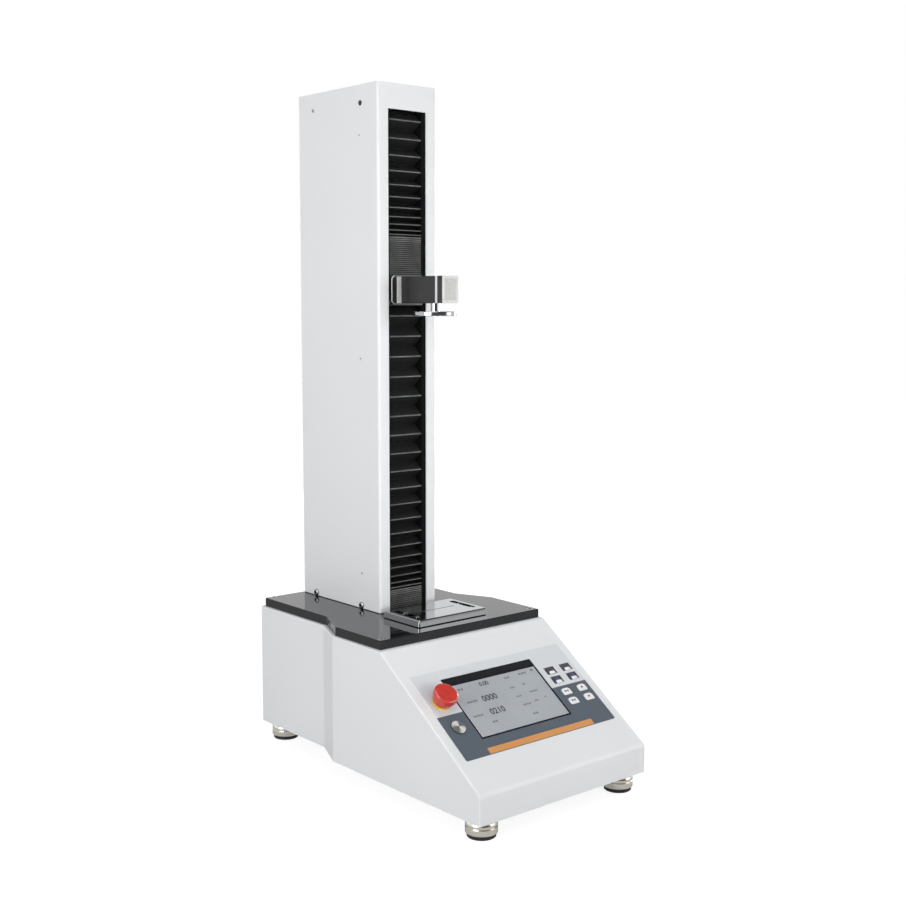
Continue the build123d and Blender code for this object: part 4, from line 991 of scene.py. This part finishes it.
@dataclass
class TurnedFeet:
    """Feet with a rounded shoulder, a waist and a recess for the pad, in millimetres."""

    radius: float = 20.0
    waist: float = 18.6
    skirt: float = 8.4
    gap: float = 1.6
    cap: float = 9.0
    bottom: float = 5.0
    shoulder: float = 8.4
    recess: float = 18.15
    recess_depth: float = 2.0
    lip_edge: float = 0.6
    foot_edge: float = 1.4
    front: tuple[float, float] = (120.0, -231.5)
    rear: tuple[float, float] = (96.0, 229.5)

    def turn(self, name: str) -> Bench:
        """Models one foot upwards from its skirt.

        Args:
            name: Name of the piece.

        Returns:
            The bench with the foot on it.
        """
        bench = Bench.drum(name, self.radius, self.skirt, 64)
        bench.pick(Zone.FACE, lambda c, n: n.z < -0.99).inset(self.radius - self.recess, self.recess_depth)
        bench.top().inset(self.radius - self.waist)
        bench.pull(0.0, 0.0, self.gap).pull(0.0, 0.0, 0.0)
        widen = self.radius / self.waist
        middle = (0.0, 0.0, (self.skirt + self.gap) * MM)
        bpy.ops.transform.resize(value=(widen, widen, 1.0), center_override=middle)
        bench.pull(0.0, 0.0, self.cap).outward()
        outer = (self.radius - 0.1) * MM
        bench.rim(self.skirt + self.gap + self.cap).round(self.shoulder, 12)
        for lip in (self.skirt * MM, (self.skirt + self.gap) * MM):
            bench.pick(Zone.EDGE, partial(self.along, outer, lip)).round(self.lip_edge, 3)
        bench.pick(Zone.EDGE, partial(self.along, outer, 0.0)).round(self.foot_edge, 4)
        return bench.outward()

    @staticmethod
    def along(outer: float, height: float, a: Vector, b: Vector) -> bool:
        """Says whether an edge runs round the outside at a height, in metres.

        Args:
            outer: Radius that both its ends lie beyond.
            height: The height.
            a: One end of the edge.
            b: Its other end.

        Returns:
            Whether it does.
        """
        level = max(abs(a.z - height), abs(b.z - height)) < NEAR
        return level and min(a.xy.length, b.xy.length) > outer

    def build(self) -> None:
        """Makes the four feet."""
        for row, (x, y) in (("front", self.front), ("rear", self.rear)):
            for side in Side:
                bench = self.turn(f"foot_{row}_{side.name.lower()}").paint(NICKEL).smooth(40.0)
                place = shifted(side.value * x, y, self.bottom)
                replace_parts(bench.set_down(place, "root", "foot_nickel"), "feet")


@dataclass
class PleatedCover:
    """Pleated cover in short lengths, each cut at its own shares of the run, in millimetres."""

    node: str
    stretched_z: float
    packed_z: float
    fixed_z: float
    open_folds: int
    spread: float
    folds: int = 30
    dense: float = 2.7
    half_width: float = 27.5
    ridge_y: float = 64.0
    valley_y: float = 78.0
    sheet: float = 1.4
    lip: float = 0.26
    open_pitch: float = 4.5
    packed_lip: float = 0.6
    packed: tuple[float, float] = (0.0, 0.0)
    shares: tuple[float, ...] = (
        0.0, 0.01, 0.025, 0.05, 0.1, 0.2, 0.35, 0.5, 0.65, 0.8, 0.9, 0.95, 0.975, 0.99, 1.0,
    )

    def profile(self) -> list[tuple[float, float]]:
        """Works out the folded line of the cover.

        Returns:
            Points (y, z) from the lower end to the upper one.
        """
        weights = [1 - (n / self.open_folds) ** self.spread for n in range(self.open_folds)]
        length = abs(self.packed_z - self.stretched_z)
        ramp = (length - self.dense * self.folds) / sum(weights)
        pitches = [self.dense + ramp * w for w in weights] + [self.dense] * (self.folds - self.open_folds)
        way = 1.0 if self.packed_z > self.stretched_z else -1.0
        z = self.stretched_z
        line = []
        for pitch in pitches:
            lip = (min(pitch * self.lip, 1.0) if pitch > self.open_pitch else pitch * self.packed_lip) / 2
            middle = z + way * pitch / 2
            line += [(self.valley_y, z + way * lip / 2), (self.ridge_y, middle - way * lip)]
            line += [(self.ridge_y, middle + way * lip), (self.valley_y, z + way * (pitch - lip / 2))]
            z += way * pitch
        line = [(self.valley_y, self.stretched_z), *line, (self.valley_y, self.packed_z)]
        return sorted(line, key=lambda point: point[1])

    @staticmethod
    def cut(line: Sequence[tuple[float, float]], low: float, high: float) -> list[tuple[float, float]]:
        """Takes the stretch of a line between two heights.

        Args:
            line: Points (y, z), rising.
            low: Height of the lower cut.
            high: Height of the upper cut.

        Returns:
            The points between the cuts, with a point on each cut.
        """

        def at(z: float) -> tuple[float, float]:
            """Point of the line at a height."""
            for (y1, z1), (y2, z2) in zip(line, line[1:]):
                if z1 <= z <= z2 and z2 > z1:
                    return y1 + (y2 - y1) * (z - z1) / (z2 - z1), z
            return line[-1] if z > line[0][1] else line[0]

        inner = [point for point in line if low + 0.02 < point[1] < high - 0.02]
        return [at(low), *inner, at(high)]

    def length(self, name: str, points: Sequence[tuple[float, float]]) -> Bench:
        """Models one length by drawing an edge along the folds and thickening it.

        Args:
            name: Name of the piece.
            points: Points (y, z) that it follows, rising.

        Returns:
            The bench with the length on it.
        """
        Bench.clear()
        bpy.ops.mesh.primitive_plane_add(size=2 * self.half_width * MM)
        bench = Bench(name)
        bench.pick(Zone.EDGE, lambda a, b: min(a.y, b.y) > 0)
        bpy.ops.mesh.delete(type="EDGE")
        bench.pick(Zone.EDGE, lambda a, b: True)
        start = Vector((0.0, points[0][0], points[0][1])) * MM
        bpy.ops.transform.translate(value=start + Vector((0.0, self.half_width * MM, 0.0)))
        for (y1, z1), (y2, z2) in zip(points, points[1:]):
            bench.pull(0.0, y2 - y1, z2 - z1)
        bpy.ops.mesh.select_mode(type="FACE")
        bpy.ops.mesh.select_all(action="SELECT")
        bench.pull(0.0, self.sheet, 0.0)
        return bench.outward()

    @staticmethod
    def ease(share: float) -> float:
        """Place along a smooth step at which it has passed a share."""
        return 0.5 - math.sin(math.asin(1.0 - 2.0 * share) / 3.0)

    def build(self) -> None:
        """Makes the lengths, each cut between its own two shares of the run from the fixed end."""
        moving_z = self.packed_z if self.fixed_z == self.stretched_z else self.stretched_z
        line = self.profile()
        for number, (near, far) in enumerate(zip(self.shares, self.shares[1:]), 1):
            z_near, z_far = (self.fixed_z + (moving_z - self.fixed_z) * share for share in (near, far))
            points = self.cut(line, min(z_near, z_far), max(z_near, z_far))
            # Packed lengths take the cloth with the weaker painted highlight
            cloth = PACKED_CLOTH if near >= self.packed[0] and far <= self.packed[1] else CLOTH
            bench = self.length(f"{self.node}_{number:02d}", points).paint(cloth).smooth(20.0)
            step = (z_far - z_near) / (self.ease(far) - self.ease(near))
            start = z_near - self.ease(near) * step
            piece = bench.piece
            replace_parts(piece, self.node)
            ends = (Vector((0.0, self.ridge_y, z)) * MM for z in (start, start + step))
            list(ends)
            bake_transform(piece)
            log.info("%s stretches between the column and the crosshead", piece.name)


@dataclass
class Crosshead:
    """Face plate and front plate of the crosshead, in millimetres."""

    middle_z: float = 654.0
    face_half: float = 28.8
    face_height: float = 39.0
    face_y: tuple[float, float] = (57.5, 62.5)
    face_corner: float = 4.0
    face_edge: float = 0.7
    front_half: float = 13.5
    front_height: float = 36.0
    front_y: tuple[float, float] = (-32.0, -30.5)
    front_corner: float = 1.0
    front_edge: float = 0.3
    border: float = 3.2
    slope: float = 0.3
    sink: float = 0.25
    longest_edge: float = 2.0

    def face(self) -> Piece:
        """Black face plate in the window, with cut corners and a bare bright edge.

        Returns:
            The finished plate.
        """
        thick = self.face_y[1] - self.face_y[0]
        bench = Bench.slab("crosshead_face", 2 * self.face_half, self.face_height, thick)
        bench.upright().round(self.face_corner, 1)
        bench.rim(thick).round(self.face_edge, 1)
        bench.paint(ARM, ALUMINIUM).second(lambda c, n: 0.2 < n.z < 0.95)
        place = facing((0.0, self.face_y[1], self.middle_z), (0, -1, 0))
        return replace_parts(bench.smooth(25.0).set_down(place, "crosshead", "arm_black"), "crosshead_plate")

    def front(self) -> Piece:
        """Bright plate on the arm's end, blasted inside a plain border.

        Returns:
            The finished plate.
        """
        thick = self.front_y[1] - self.front_y[0]
        bench = Bench.slab("arm_front", 2 * self.front_half, self.front_height, thick)
        front = thick * MM - NEAR
        side = self.front_half * MM - NEAR
        bench.top().inset(self.border).inset(self.slope, self.sink)
        bench.upright(lambda end: abs(end.x) > side).round(self.front_corner, 3)
        rim = (self.front_half - self.border / 2) * MM
        tall = (self.front_height / 2 - self.border / 2) * MM
        longest = self.longest_edge * MM
        bench.pick(
            Zone.EDGE,
            lambda a, b: min(a.z, b.z) > front
            and all(abs(v.x) > rim or abs(v.y) > tall for v in (a, b))
            and not (abs(a.x - b.x) > NEAR and abs(a.y - b.y) > NEAR and (a - b).length > longest),
        ).round(self.front_edge, 2)
        bench.paint(BORDER, BLASTED)
        bench.second(lambda c, n: n.z > 0.99 and c.xy.length < 1.0 * MM and c.z < front)
        place = facing((0.0, self.front_y[1], self.middle_z), (0, -1, 0))
        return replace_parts(bench.smooth(25.0).set_down(place, "crosshead", "aluminium"), "arm_front_plate")

    def build(self) -> None:
        """Makes both plates."""
        self.face()
        self.front()


@dataclass
class ScreenPicture:
    """Plain figures and marks on the screen, in millimetres from its corner or shares of a mark."""

    left: float = -88.3
    top: float = 63.5
    glass: float = 0.6
    thick: float = 0.08
    weight: float = 0.22
    mark_height: float = 0.9
    mark_corner: float = 0.2
    mark_border: float = 0.12
    mark_sink: float = 0.5
    mark_step: float = 1.35
    figures: tuple[tuple[str, float, float, float], ...] = (
        ("0.00", 59.0, 20.6, 9.0),
        ("0000", 53.0, 43.0, 12.5),
        ("0210", 51.0, 64.4, 12.5),
    )
    marks: tuple[tuple[float, float, int, float], ...] = (
        (18.8, 21.0, 2, 3.6), (23.6, 42.8, 4, 3.2), (17.7, 65.0, 4, 3.0), (35.8, 79.0, 2, 3.4),
        (99.6, 20.2, 2, 3.6), (128.0, 19.4, 3, 3.6), (146.0, 17.4, 1, 4.6), (96.7, 37.0, 2, 2.8),
        (118.4, 35.8, 1, 3.6), (97.5, 52.0, 3, 2.4), (125.0, 49.8, 4, 2.8), (100.7, 66.5, 4, 2.6),
        (119.0, 64.8, 2, 2.6), (136.6, 62.8, 1, 2.6), (103.5, 83.0, 2, 3.6),
    )

    def place(self, across: float, down: float) -> Matrix:
        """Place on the glass."""
        return PANEL.place(self.left + across, self.top + down, self.glass)

    def build(self) -> None:
        """Makes the figures and the rows of small marks."""
        for number, (text, across, down, height) in enumerate(self.figures, 1):
            name = f"screen_figures_{number}"
            bench = Bench.figures(name, text, height, self.thick, self.weight).paint(INK)
            place = self.place(across, down) @ shifted(0, 0, self.thick / 2)
            bench.set_down(place, "root", "screen_glass")
        for number, (across, down, count, size) in enumerate(self.marks, 1):
            bench = Bench.slab(f"screen_mark_{number}", size, size * self.mark_height, self.thick)
            bench.upright().round(size * self.mark_corner, 2)
            bench.top().inset(size * self.mark_border, self.thick * self.mark_sink)
            bpy.ops.object.mode_set(mode="OBJECT")
            row = bench.piece.modifiers.new("row", "ARRAY")
            row.count = count
            row.use_relative_offset = False
            row.use_constant_offset = True
            row.constant_offset_displace = (size * self.mark_step * MM, 0.0, 0.0)
            bpy.ops.object.modifier_apply(modifier=row.name)
            shift = -(count - 1) * size * self.mark_step / 2
            bench.paint(FAINT).set_down(self.place(across + shift, down), "root", "screen_glass")


@dataclass
class KeyField:
    """Keys of the panel with their print, in millimetres or shares of a mark's short side."""

    columns: tuple[float, float] = (86.6, 115.4)
    rows: tuple[float, ...] = (90.3, 106.5, 127.1, 143.3)
    width: float = 15.0
    height: float = 10.5
    top: float = 1.8
    tail: float = -3.0
    film: float = 0.12
    sheet: float = 1.0
    border: float = 1.2
    surround_gap: float = 0.2
    field_margin: float = 0.25
    field_corner: float = 1.4
    field_slope: float = 0.25
    field_rise: float = 0.02
    tab_width: float = 9.8
    tab_height: float = 4.6
    tab_corner: float = 2.0
    tab_up: float = 2.24
    tab_slope: float = 0.3
    tab_rise: float = 0.05
    tab_clear: float = 0.05
    shoulder: float = 4.2
    corner: float = 1.2
    crown: float = 0.4
    upper_rows: int = 2
    upper_mark: tuple[float, float] = (5.2, 4.2)
    upper_mark_up: float = 1.4
    lower_mark: tuple[float, float] = (3.4, 3.0)
    twin_mark: tuple[float, float] = (2.8, 3.0)
    twin_aside: float = 2.1
    lower_mark_up: float = 0.2
    mark_rise: float = 0.01
    mark_corner: float = 0.3
    mark_slope: float = 0.15

    def field(self, name: str, place: Matrix, body: str) -> Piece:
        """Dark printed field of an upper key.

        Args:
            name: Name of the piece.
            place: Where the key's middle sits on the panel.
            body: Body of the key.

        Returns:
            The finished field.
        """
        trim = 2 * self.field_margin
        bench = Bench.slab(name, self.width - trim, self.height - trim, self.film)
        bench.upright().round(self.field_corner, 3)
        bench.top().inset(self.field_slope, -self.field_rise)
        return bench.paint(KEY_FIELD).set_down(place @ shifted(0, 0, self.top), body, "plastic_black")

    def surround(self, name: str, place: Matrix) -> Piece:
        """Dark print on the film round three sides of an upper key.

        Args:
            name: Name of the piece.
            place: Where the key's middle sits on the panel.

        Returns:
            The finished print.
        """
        more = 2 * (self.border + self.surround_gap)
        bench = Bench.slab(name, self.width + more, self.height + more, self.film / 2).pierce(self.border)
        bpy.ops.mesh.select_all(action="SELECT")
        cut = (0.0, -self.height / 2 * MM, 0.0)
        bpy.ops.mesh.bisect(plane_co=cut, plane_no=(0.0, 1.0, 0.0), use_fill=True, clear_inner=True)
        bench.outward().paint(KEY_FIELD)
        return bench.set_down(place @ shifted(0, 0, self.sheet), "root", "overlay_grey")

    def tab(self, name: str, place: Matrix, body: str) -> Piece:
        """Pale tab at the foot of an upper key, drawn down over the key's lower edge.

        Args:
            name: Name of the piece.
            place: Where the key's middle sits on the panel.
            body: Body of the key.

        Returns:
            The finished tab.
        """
        skirt = self.top - self.sheet - self.tab_clear
        bench = Bench.slab(name, self.tab_width, self.tab_height, skirt + self.film * 2)
        bench.upright(lambda end: end.y > 0).round(self.tab_corner, 5)
        bench.top().inset(self.tab_slope, -self.tab_rise)
        lift = shifted(0, -self.height / 2 + self.tab_up, self.sheet + self.tab_clear)
        return bench.paint(KEY).set_down(place @ lift, body, "key_white")

    def mark(self, name: str, place: Matrix, body: str, size: Sequence[float], ink: Finish) -> Piece:
        """Small printed bar or block on a key.

        Args:
            name: Name of the piece.
            place: Where its middle sits.
            body: Body of the key.
            size: Its width and height.
            ink: Its finish.

        Returns:
            The finished piece.
        """
        bench = Bench.slab(name, *size, self.film)
        bench.upright().round(min(size) * self.mark_corner, 2)
        bench.top().inset(min(size) * self.mark_slope, -self.mark_rise)
        return bench.paint(ink).set_down(place, body, "plastic_black")

    def cap(self, name: str, node: str, place: Matrix) -> Piece:
        """Pale cap of a lower key, with wide shoulders above and a crowned top.

        Args:
            name: Name of the piece.
            node: Node that it replaces, which is also its body.
            place: Where the key's middle sits on the panel.

        Returns:
            The finished cap.
        """
        bench = Bench.slab(name, self.width, self.height, self.top - self.tail)
        bench.upright(lambda end: end.y > 0).round(self.shoulder, 6)
        below = -self.height / 4 * MM
        bench.upright(lambda end: end.y < below).round(self.corner, 3)
        bench.rim(self.top - self.tail).round(self.crown, 3)
        bench.paint(KEY).smooth(40.0)
        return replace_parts(bench.set_down(place @ shifted(0, 0, self.tail), node, "key_white"), node)

    def upper(self, node: str, place: Matrix, marked: bool) -> None:
        """Makes the print and the tab of an upper key.

        Args:
            node: Node of the key.
            place: Where its middle sits on the panel.
            marked: Whether it carries a mark.
        """
        self.surround(f"{node}_surround", place)
        self.field(f"{node}_field", place, node)
        self.tab(f"{node}_tab", place, node)
        if marked:
            spot = place @ shifted(0, self.upper_mark_up, self.top + self.film)
            self.mark(f"{node}_mark", spot, node, self.upper_mark, BLUE)

    def lower(self, node: str, place: Matrix, twin: bool) -> None:
        """Makes the cap of a lower key with its print.

        Args:
            node: Node of the key.
            place: Where its middle sits on the panel.
            twin: Whether it carries two marks side by side.
        """
        self.cap(f"{node}_cap", node, place)
        spot = place @ shifted(0, self.lower_mark_up, self.top)
        if not twin:
            self.mark(f"{node}_mark", spot, node, self.lower_mark, RUST)
            return
        for side in Side:
            beside = spot @ shifted(side.value * self.twin_aside, 0, 0)
            self.mark(f"{node}_mark_{side.name.lower()}", beside, node, self.twin_mark, FAINT)

    def build(self) -> None:
        """Makes the print of the upper keys and the caps of the lower ones."""
        for row, down in enumerate(self.rows):
            for column, across in enumerate(self.columns):
                node = f"key_{row * len(self.columns) + column + 1}"
                place = PANEL.place(across, down, 0.0)
                if row < self.upper_rows:
                    self.upper(node, place, marked=row == self.upper_rows - 1)
                else:
                    self.lower(node, place, twin=column == 0)


@dataclass(frozen=True)
class Lamp:
    """A square soft lamp in the studio, in metres, watts and degrees."""

    name: str
    at: tuple[float, float, float]
    aim: tuple[float, float, float]
    side: float
    power: float
    spread: float = 180.0
    in_gloss: bool = True

    def hang(self) -> None:
        """Hangs the lamp in the scene."""
        lamp = bpy.data.lights.new(self.name, "AREA")
        lamp.shape = "SQUARE"
        lamp.size = self.side
        lamp.energy = self.power
        lamp.spread = math.radians(self.spread)
        piece = bpy.data.objects.new(self.name, lamp)
        piece.location = self.at
        piece.visible_glossy = self.in_gloss
        way = Vector(self.aim) - Vector(self.at)
        piece.rotation_euler = way.to_track_quat("-Z", "Y").to_euler()
        bpy.context.scene.collection.objects.link(piece)


@dataclass
class Studio:
    """Pale floor, soft lamps, white surround and the camera at the photograph's angle."""

    camera_at: tuple[float, float, float] = (-1.135748, -1.370376, 0.633747)
    yaw: float = -40.4268
    pitch: float = -6.4020
    roll: float = 0.0688
    lens_px: float = 1319.90
    sensor: float = 36.0
    floor_side: float = 14.0
    floor_pale: Colour = (0.62, 0.62, 0.62)
    floor_shade: Colour = (0.42, 0.42, 0.42)
    floor_glow: tuple[float, float] = (0.83, 0.97)
    floor_reach: tuple[float, float] = (0.5, 1.6)
    floor_gloss: float = 0.25
    fill: float = 0.16
    fill_tint: Colour = (0.97, 0.985, 1.0)
    dark_way: tuple[float, float] = (-0.31, -0.95)
    dark_edge: tuple[float, float] = (0.55, 0.85)
    dark_above: tuple[float, float] = (0.4, 0.75)
    dim: float = 0.12
    lamps: tuple[Lamp, ...] = (
        Lamp("key_lamp", (1.5, -1.9, 0.95), (0.0, 0.0, 0.5), 1.35, 8.0),
        Lamp("front_lamp", (-0.6, -2.4, 0.9), (0.0, 0.0, 0.45), 2.0, 17.0, in_gloss=False),
        Lamp("mid_lamp", (0.5, -2.4, 0.7), (0.0, 0.0, 0.5), 0.9, 1.0, 30.0, in_gloss=False),
        Lamp("left_lamp", (-2.2, -0.4, 0.95), (0.0, 0.0, 0.62), 1.5, 11.2, 95.0),
        Lamp("top_lamp", (0.0, -0.4, 2.6), (0.0, 0.0, 0.2), 1.6, 15.0),
        Lamp("right_lamp", (2.0, 0.15, 0.45), (0.0, -0.1, 0.2), 0.5, 9.0),
        Lamp("rear_lamp", (1.5, 2.1, 1.0), (0.0, 0.0, 0.45), 1.8, 14.0, in_gloss=False),
    )

    def seen(self, nodes: Wiring) -> Socket:
        """Tells rays that show the studio from rays of soft light.

        Args:
            nodes: Wiring to add the nodes to.

        Returns:
            One for rays from the camera, off gloss or through glass, and nought for others.
        """
        path = nodes.add("ShaderNodeLightPath")
        total = path.outputs["Is Camera Ray"]
        for name in ("Is Glossy Ray", "Is Transmission Ray"):
            total = nodes.math("MAXIMUM", total, path.outputs[name])
        return total

    def floor(self) -> None:
        """Pale floor that glows to white where the object's shadow doesn't fall."""
        Bench.clear()
        bpy.ops.mesh.primitive_plane_add(size=self.floor_side)
        plane = bpy.context.active_object
        plane.name = "studio_floor"
        material = bpy.data.materials.new("studio_floor")
        material.use_nodes = True
        nodes = Wiring(material.node_tree)
        nodes.tree.nodes.remove(nodes.tree.nodes["Principled BSDF"])
        where = nodes.add("ShaderNodeTexCoord").outputs["Object"]
        away = nodes.joined("ShaderNodeVectorMath", where, operation="LENGTH").node.outputs["Value"]
        reach = nodes.remap(away, self.floor_reach, self.floor_glow)
        eye = nodes.add("ShaderNodeLightPath").outputs["Is Camera Ray"]
        level = nodes.remap(eye, (0.0, 1.0), (self.floor_gloss, reach))
        plain = nodes.joined("ShaderNodeBsdfDiffuse", (*self.floor_pale, 1.0))
        shade = nodes.joined("ShaderNodeBsdfDiffuse", (*self.floor_shade, 1.0))
        glow = nodes.joined("ShaderNodeEmission", WHITE, level)
        bright = nodes.joined("ShaderNodeAddShader", shade, glow)
        both = nodes.joined("ShaderNodeMixShader", self.seen(nodes), plain, bright)
        nodes.feed(nodes.tree.nodes["Material Output"].inputs["Surface"], both)
        plane.data.materials.append(material)

    def surround(self) -> None:
        """White surround for the eye and for gloss, and a softer one that lights the object."""
        world = bpy.data.worlds.new("studio")
        bpy.context.scene.world = world
        world.use_nodes = True
        nodes = Wiring(world.node_tree)
        nodes.tree.nodes.clear()
        soft = nodes.joined("ShaderNodeBackground", (*self.fill_tint, 1.0), self.fill)
        white = nodes.joined("ShaderNodeBackground", WHITE, self.room(nodes))
        both = nodes.joined("ShaderNodeMixShader", self.seen(nodes), soft, white)
        nodes.feed(nodes.add("ShaderNodeOutputWorld").inputs["Surface"], both)

    def room(self, nodes: Wiring) -> Socket:
        """Brightness of the room in gloss: white at the back and sides, dim in front and above.

        Args:
            nodes: Wiring of the surround.

        Returns:
            The strength, which is one for rays from the camera.
        """
        x, y, z = nodes.parts(nodes.add("ShaderNodeTexCoord").outputs["Generated"])
        aside = nodes.math("MULTIPLY", x, self.dark_way[0])
        ahead = nodes.math("MULTIPLY_ADD", y, self.dark_way[1], aside)
        front = nodes.remap(ahead, self.dark_edge, (1.0, self.dim))
        above = nodes.remap(z, self.dark_above, (1.0, self.dim))
        shade = nodes.math("MINIMUM", front, above)
        eye = nodes.add("ShaderNodeLightPath").outputs["Is Camera Ray"]
        return nodes.math("MAXIMUM", eye, shade)

    def light(self) -> None:
        """Hangs the soft lamps round the object."""
        for lamp in self.lamps:
            lamp.hang()

    def shoot_from(self) -> None:
        """Sets the camera where the photograph was taken."""
        yaw, pitch, roll = (math.radians(a) for a in (self.yaw, self.pitch, self.roll))
        ahead = Vector((-math.sin(yaw) * math.cos(pitch), math.cos(yaw) * math.cos(pitch), math.sin(pitch)))
        right = ahead.cross(Vector((0.0, 0.0, 1.0))).normalized()
        up = right.cross(ahead)
        across = right * math.cos(roll) + up * math.sin(roll)
        upright = up * math.cos(roll) - right * math.sin(roll)
        turn = Matrix((across, upright, -ahead)).transposed().to_4x4()
        data = bpy.data.cameras.new("photograph")
        data.sensor_width = self.sensor
        data.lens = self.sensor * self.lens_px / IMAGE_SIDE
        camera = bpy.data.objects.new("photograph", data)
        camera.matrix_world = Matrix.Translation(self.camera_at) @ turn
        bpy.context.scene.collection.objects.link(camera)
        bpy.context.scene.camera = camera

    def build(self) -> None:
        """Sets up the whole studio."""
        bpy.context.scene.view_settings.view_transform = "Standard"
        self.floor()
        self.surround()
        self.light()
        self.shoot_from()


def paint_frame() -> None:
    """Gives every node of the frame the finish of its material slot."""
    finishes = {finish.name: finish for finish in SLOT_FINISHES}
    for row in frame["record"]["subparts"]:
        node = frame["nodes"][row["node"]]
        node.data.materials.clear()
        finish = NODE_FINISHES.get(row["node"], finishes[row["material_slot"]])
        node.data.materials.append(PAINT.get(finish))
        log.info("%s is finished in %s", row["node"], finish.name)


def main() -> None:
    """Dresses the frame and sets the studio."""
    logging.basicConfig(level=logging.INFO, format="%(message)s")
    paint_frame()
    Fasteners().build()
    SealsAndShadeLines().build()
    TurnedFeet().build()
    PleatedCover("lower_bellows", 632.7, 208.0, 208.0, 19, 2.2, packed=(0.0, 0.05)).build()
    PleatedCover("upper_bellows", 895.0, 675.3, 895.0, 11, 1.0, packed=(0.8, 1.0)).build()
    Crosshead().build()
    ScreenPicture().build()
    KeyField().build()
    Studio().build()


if __name__ == "__main__":
    main()
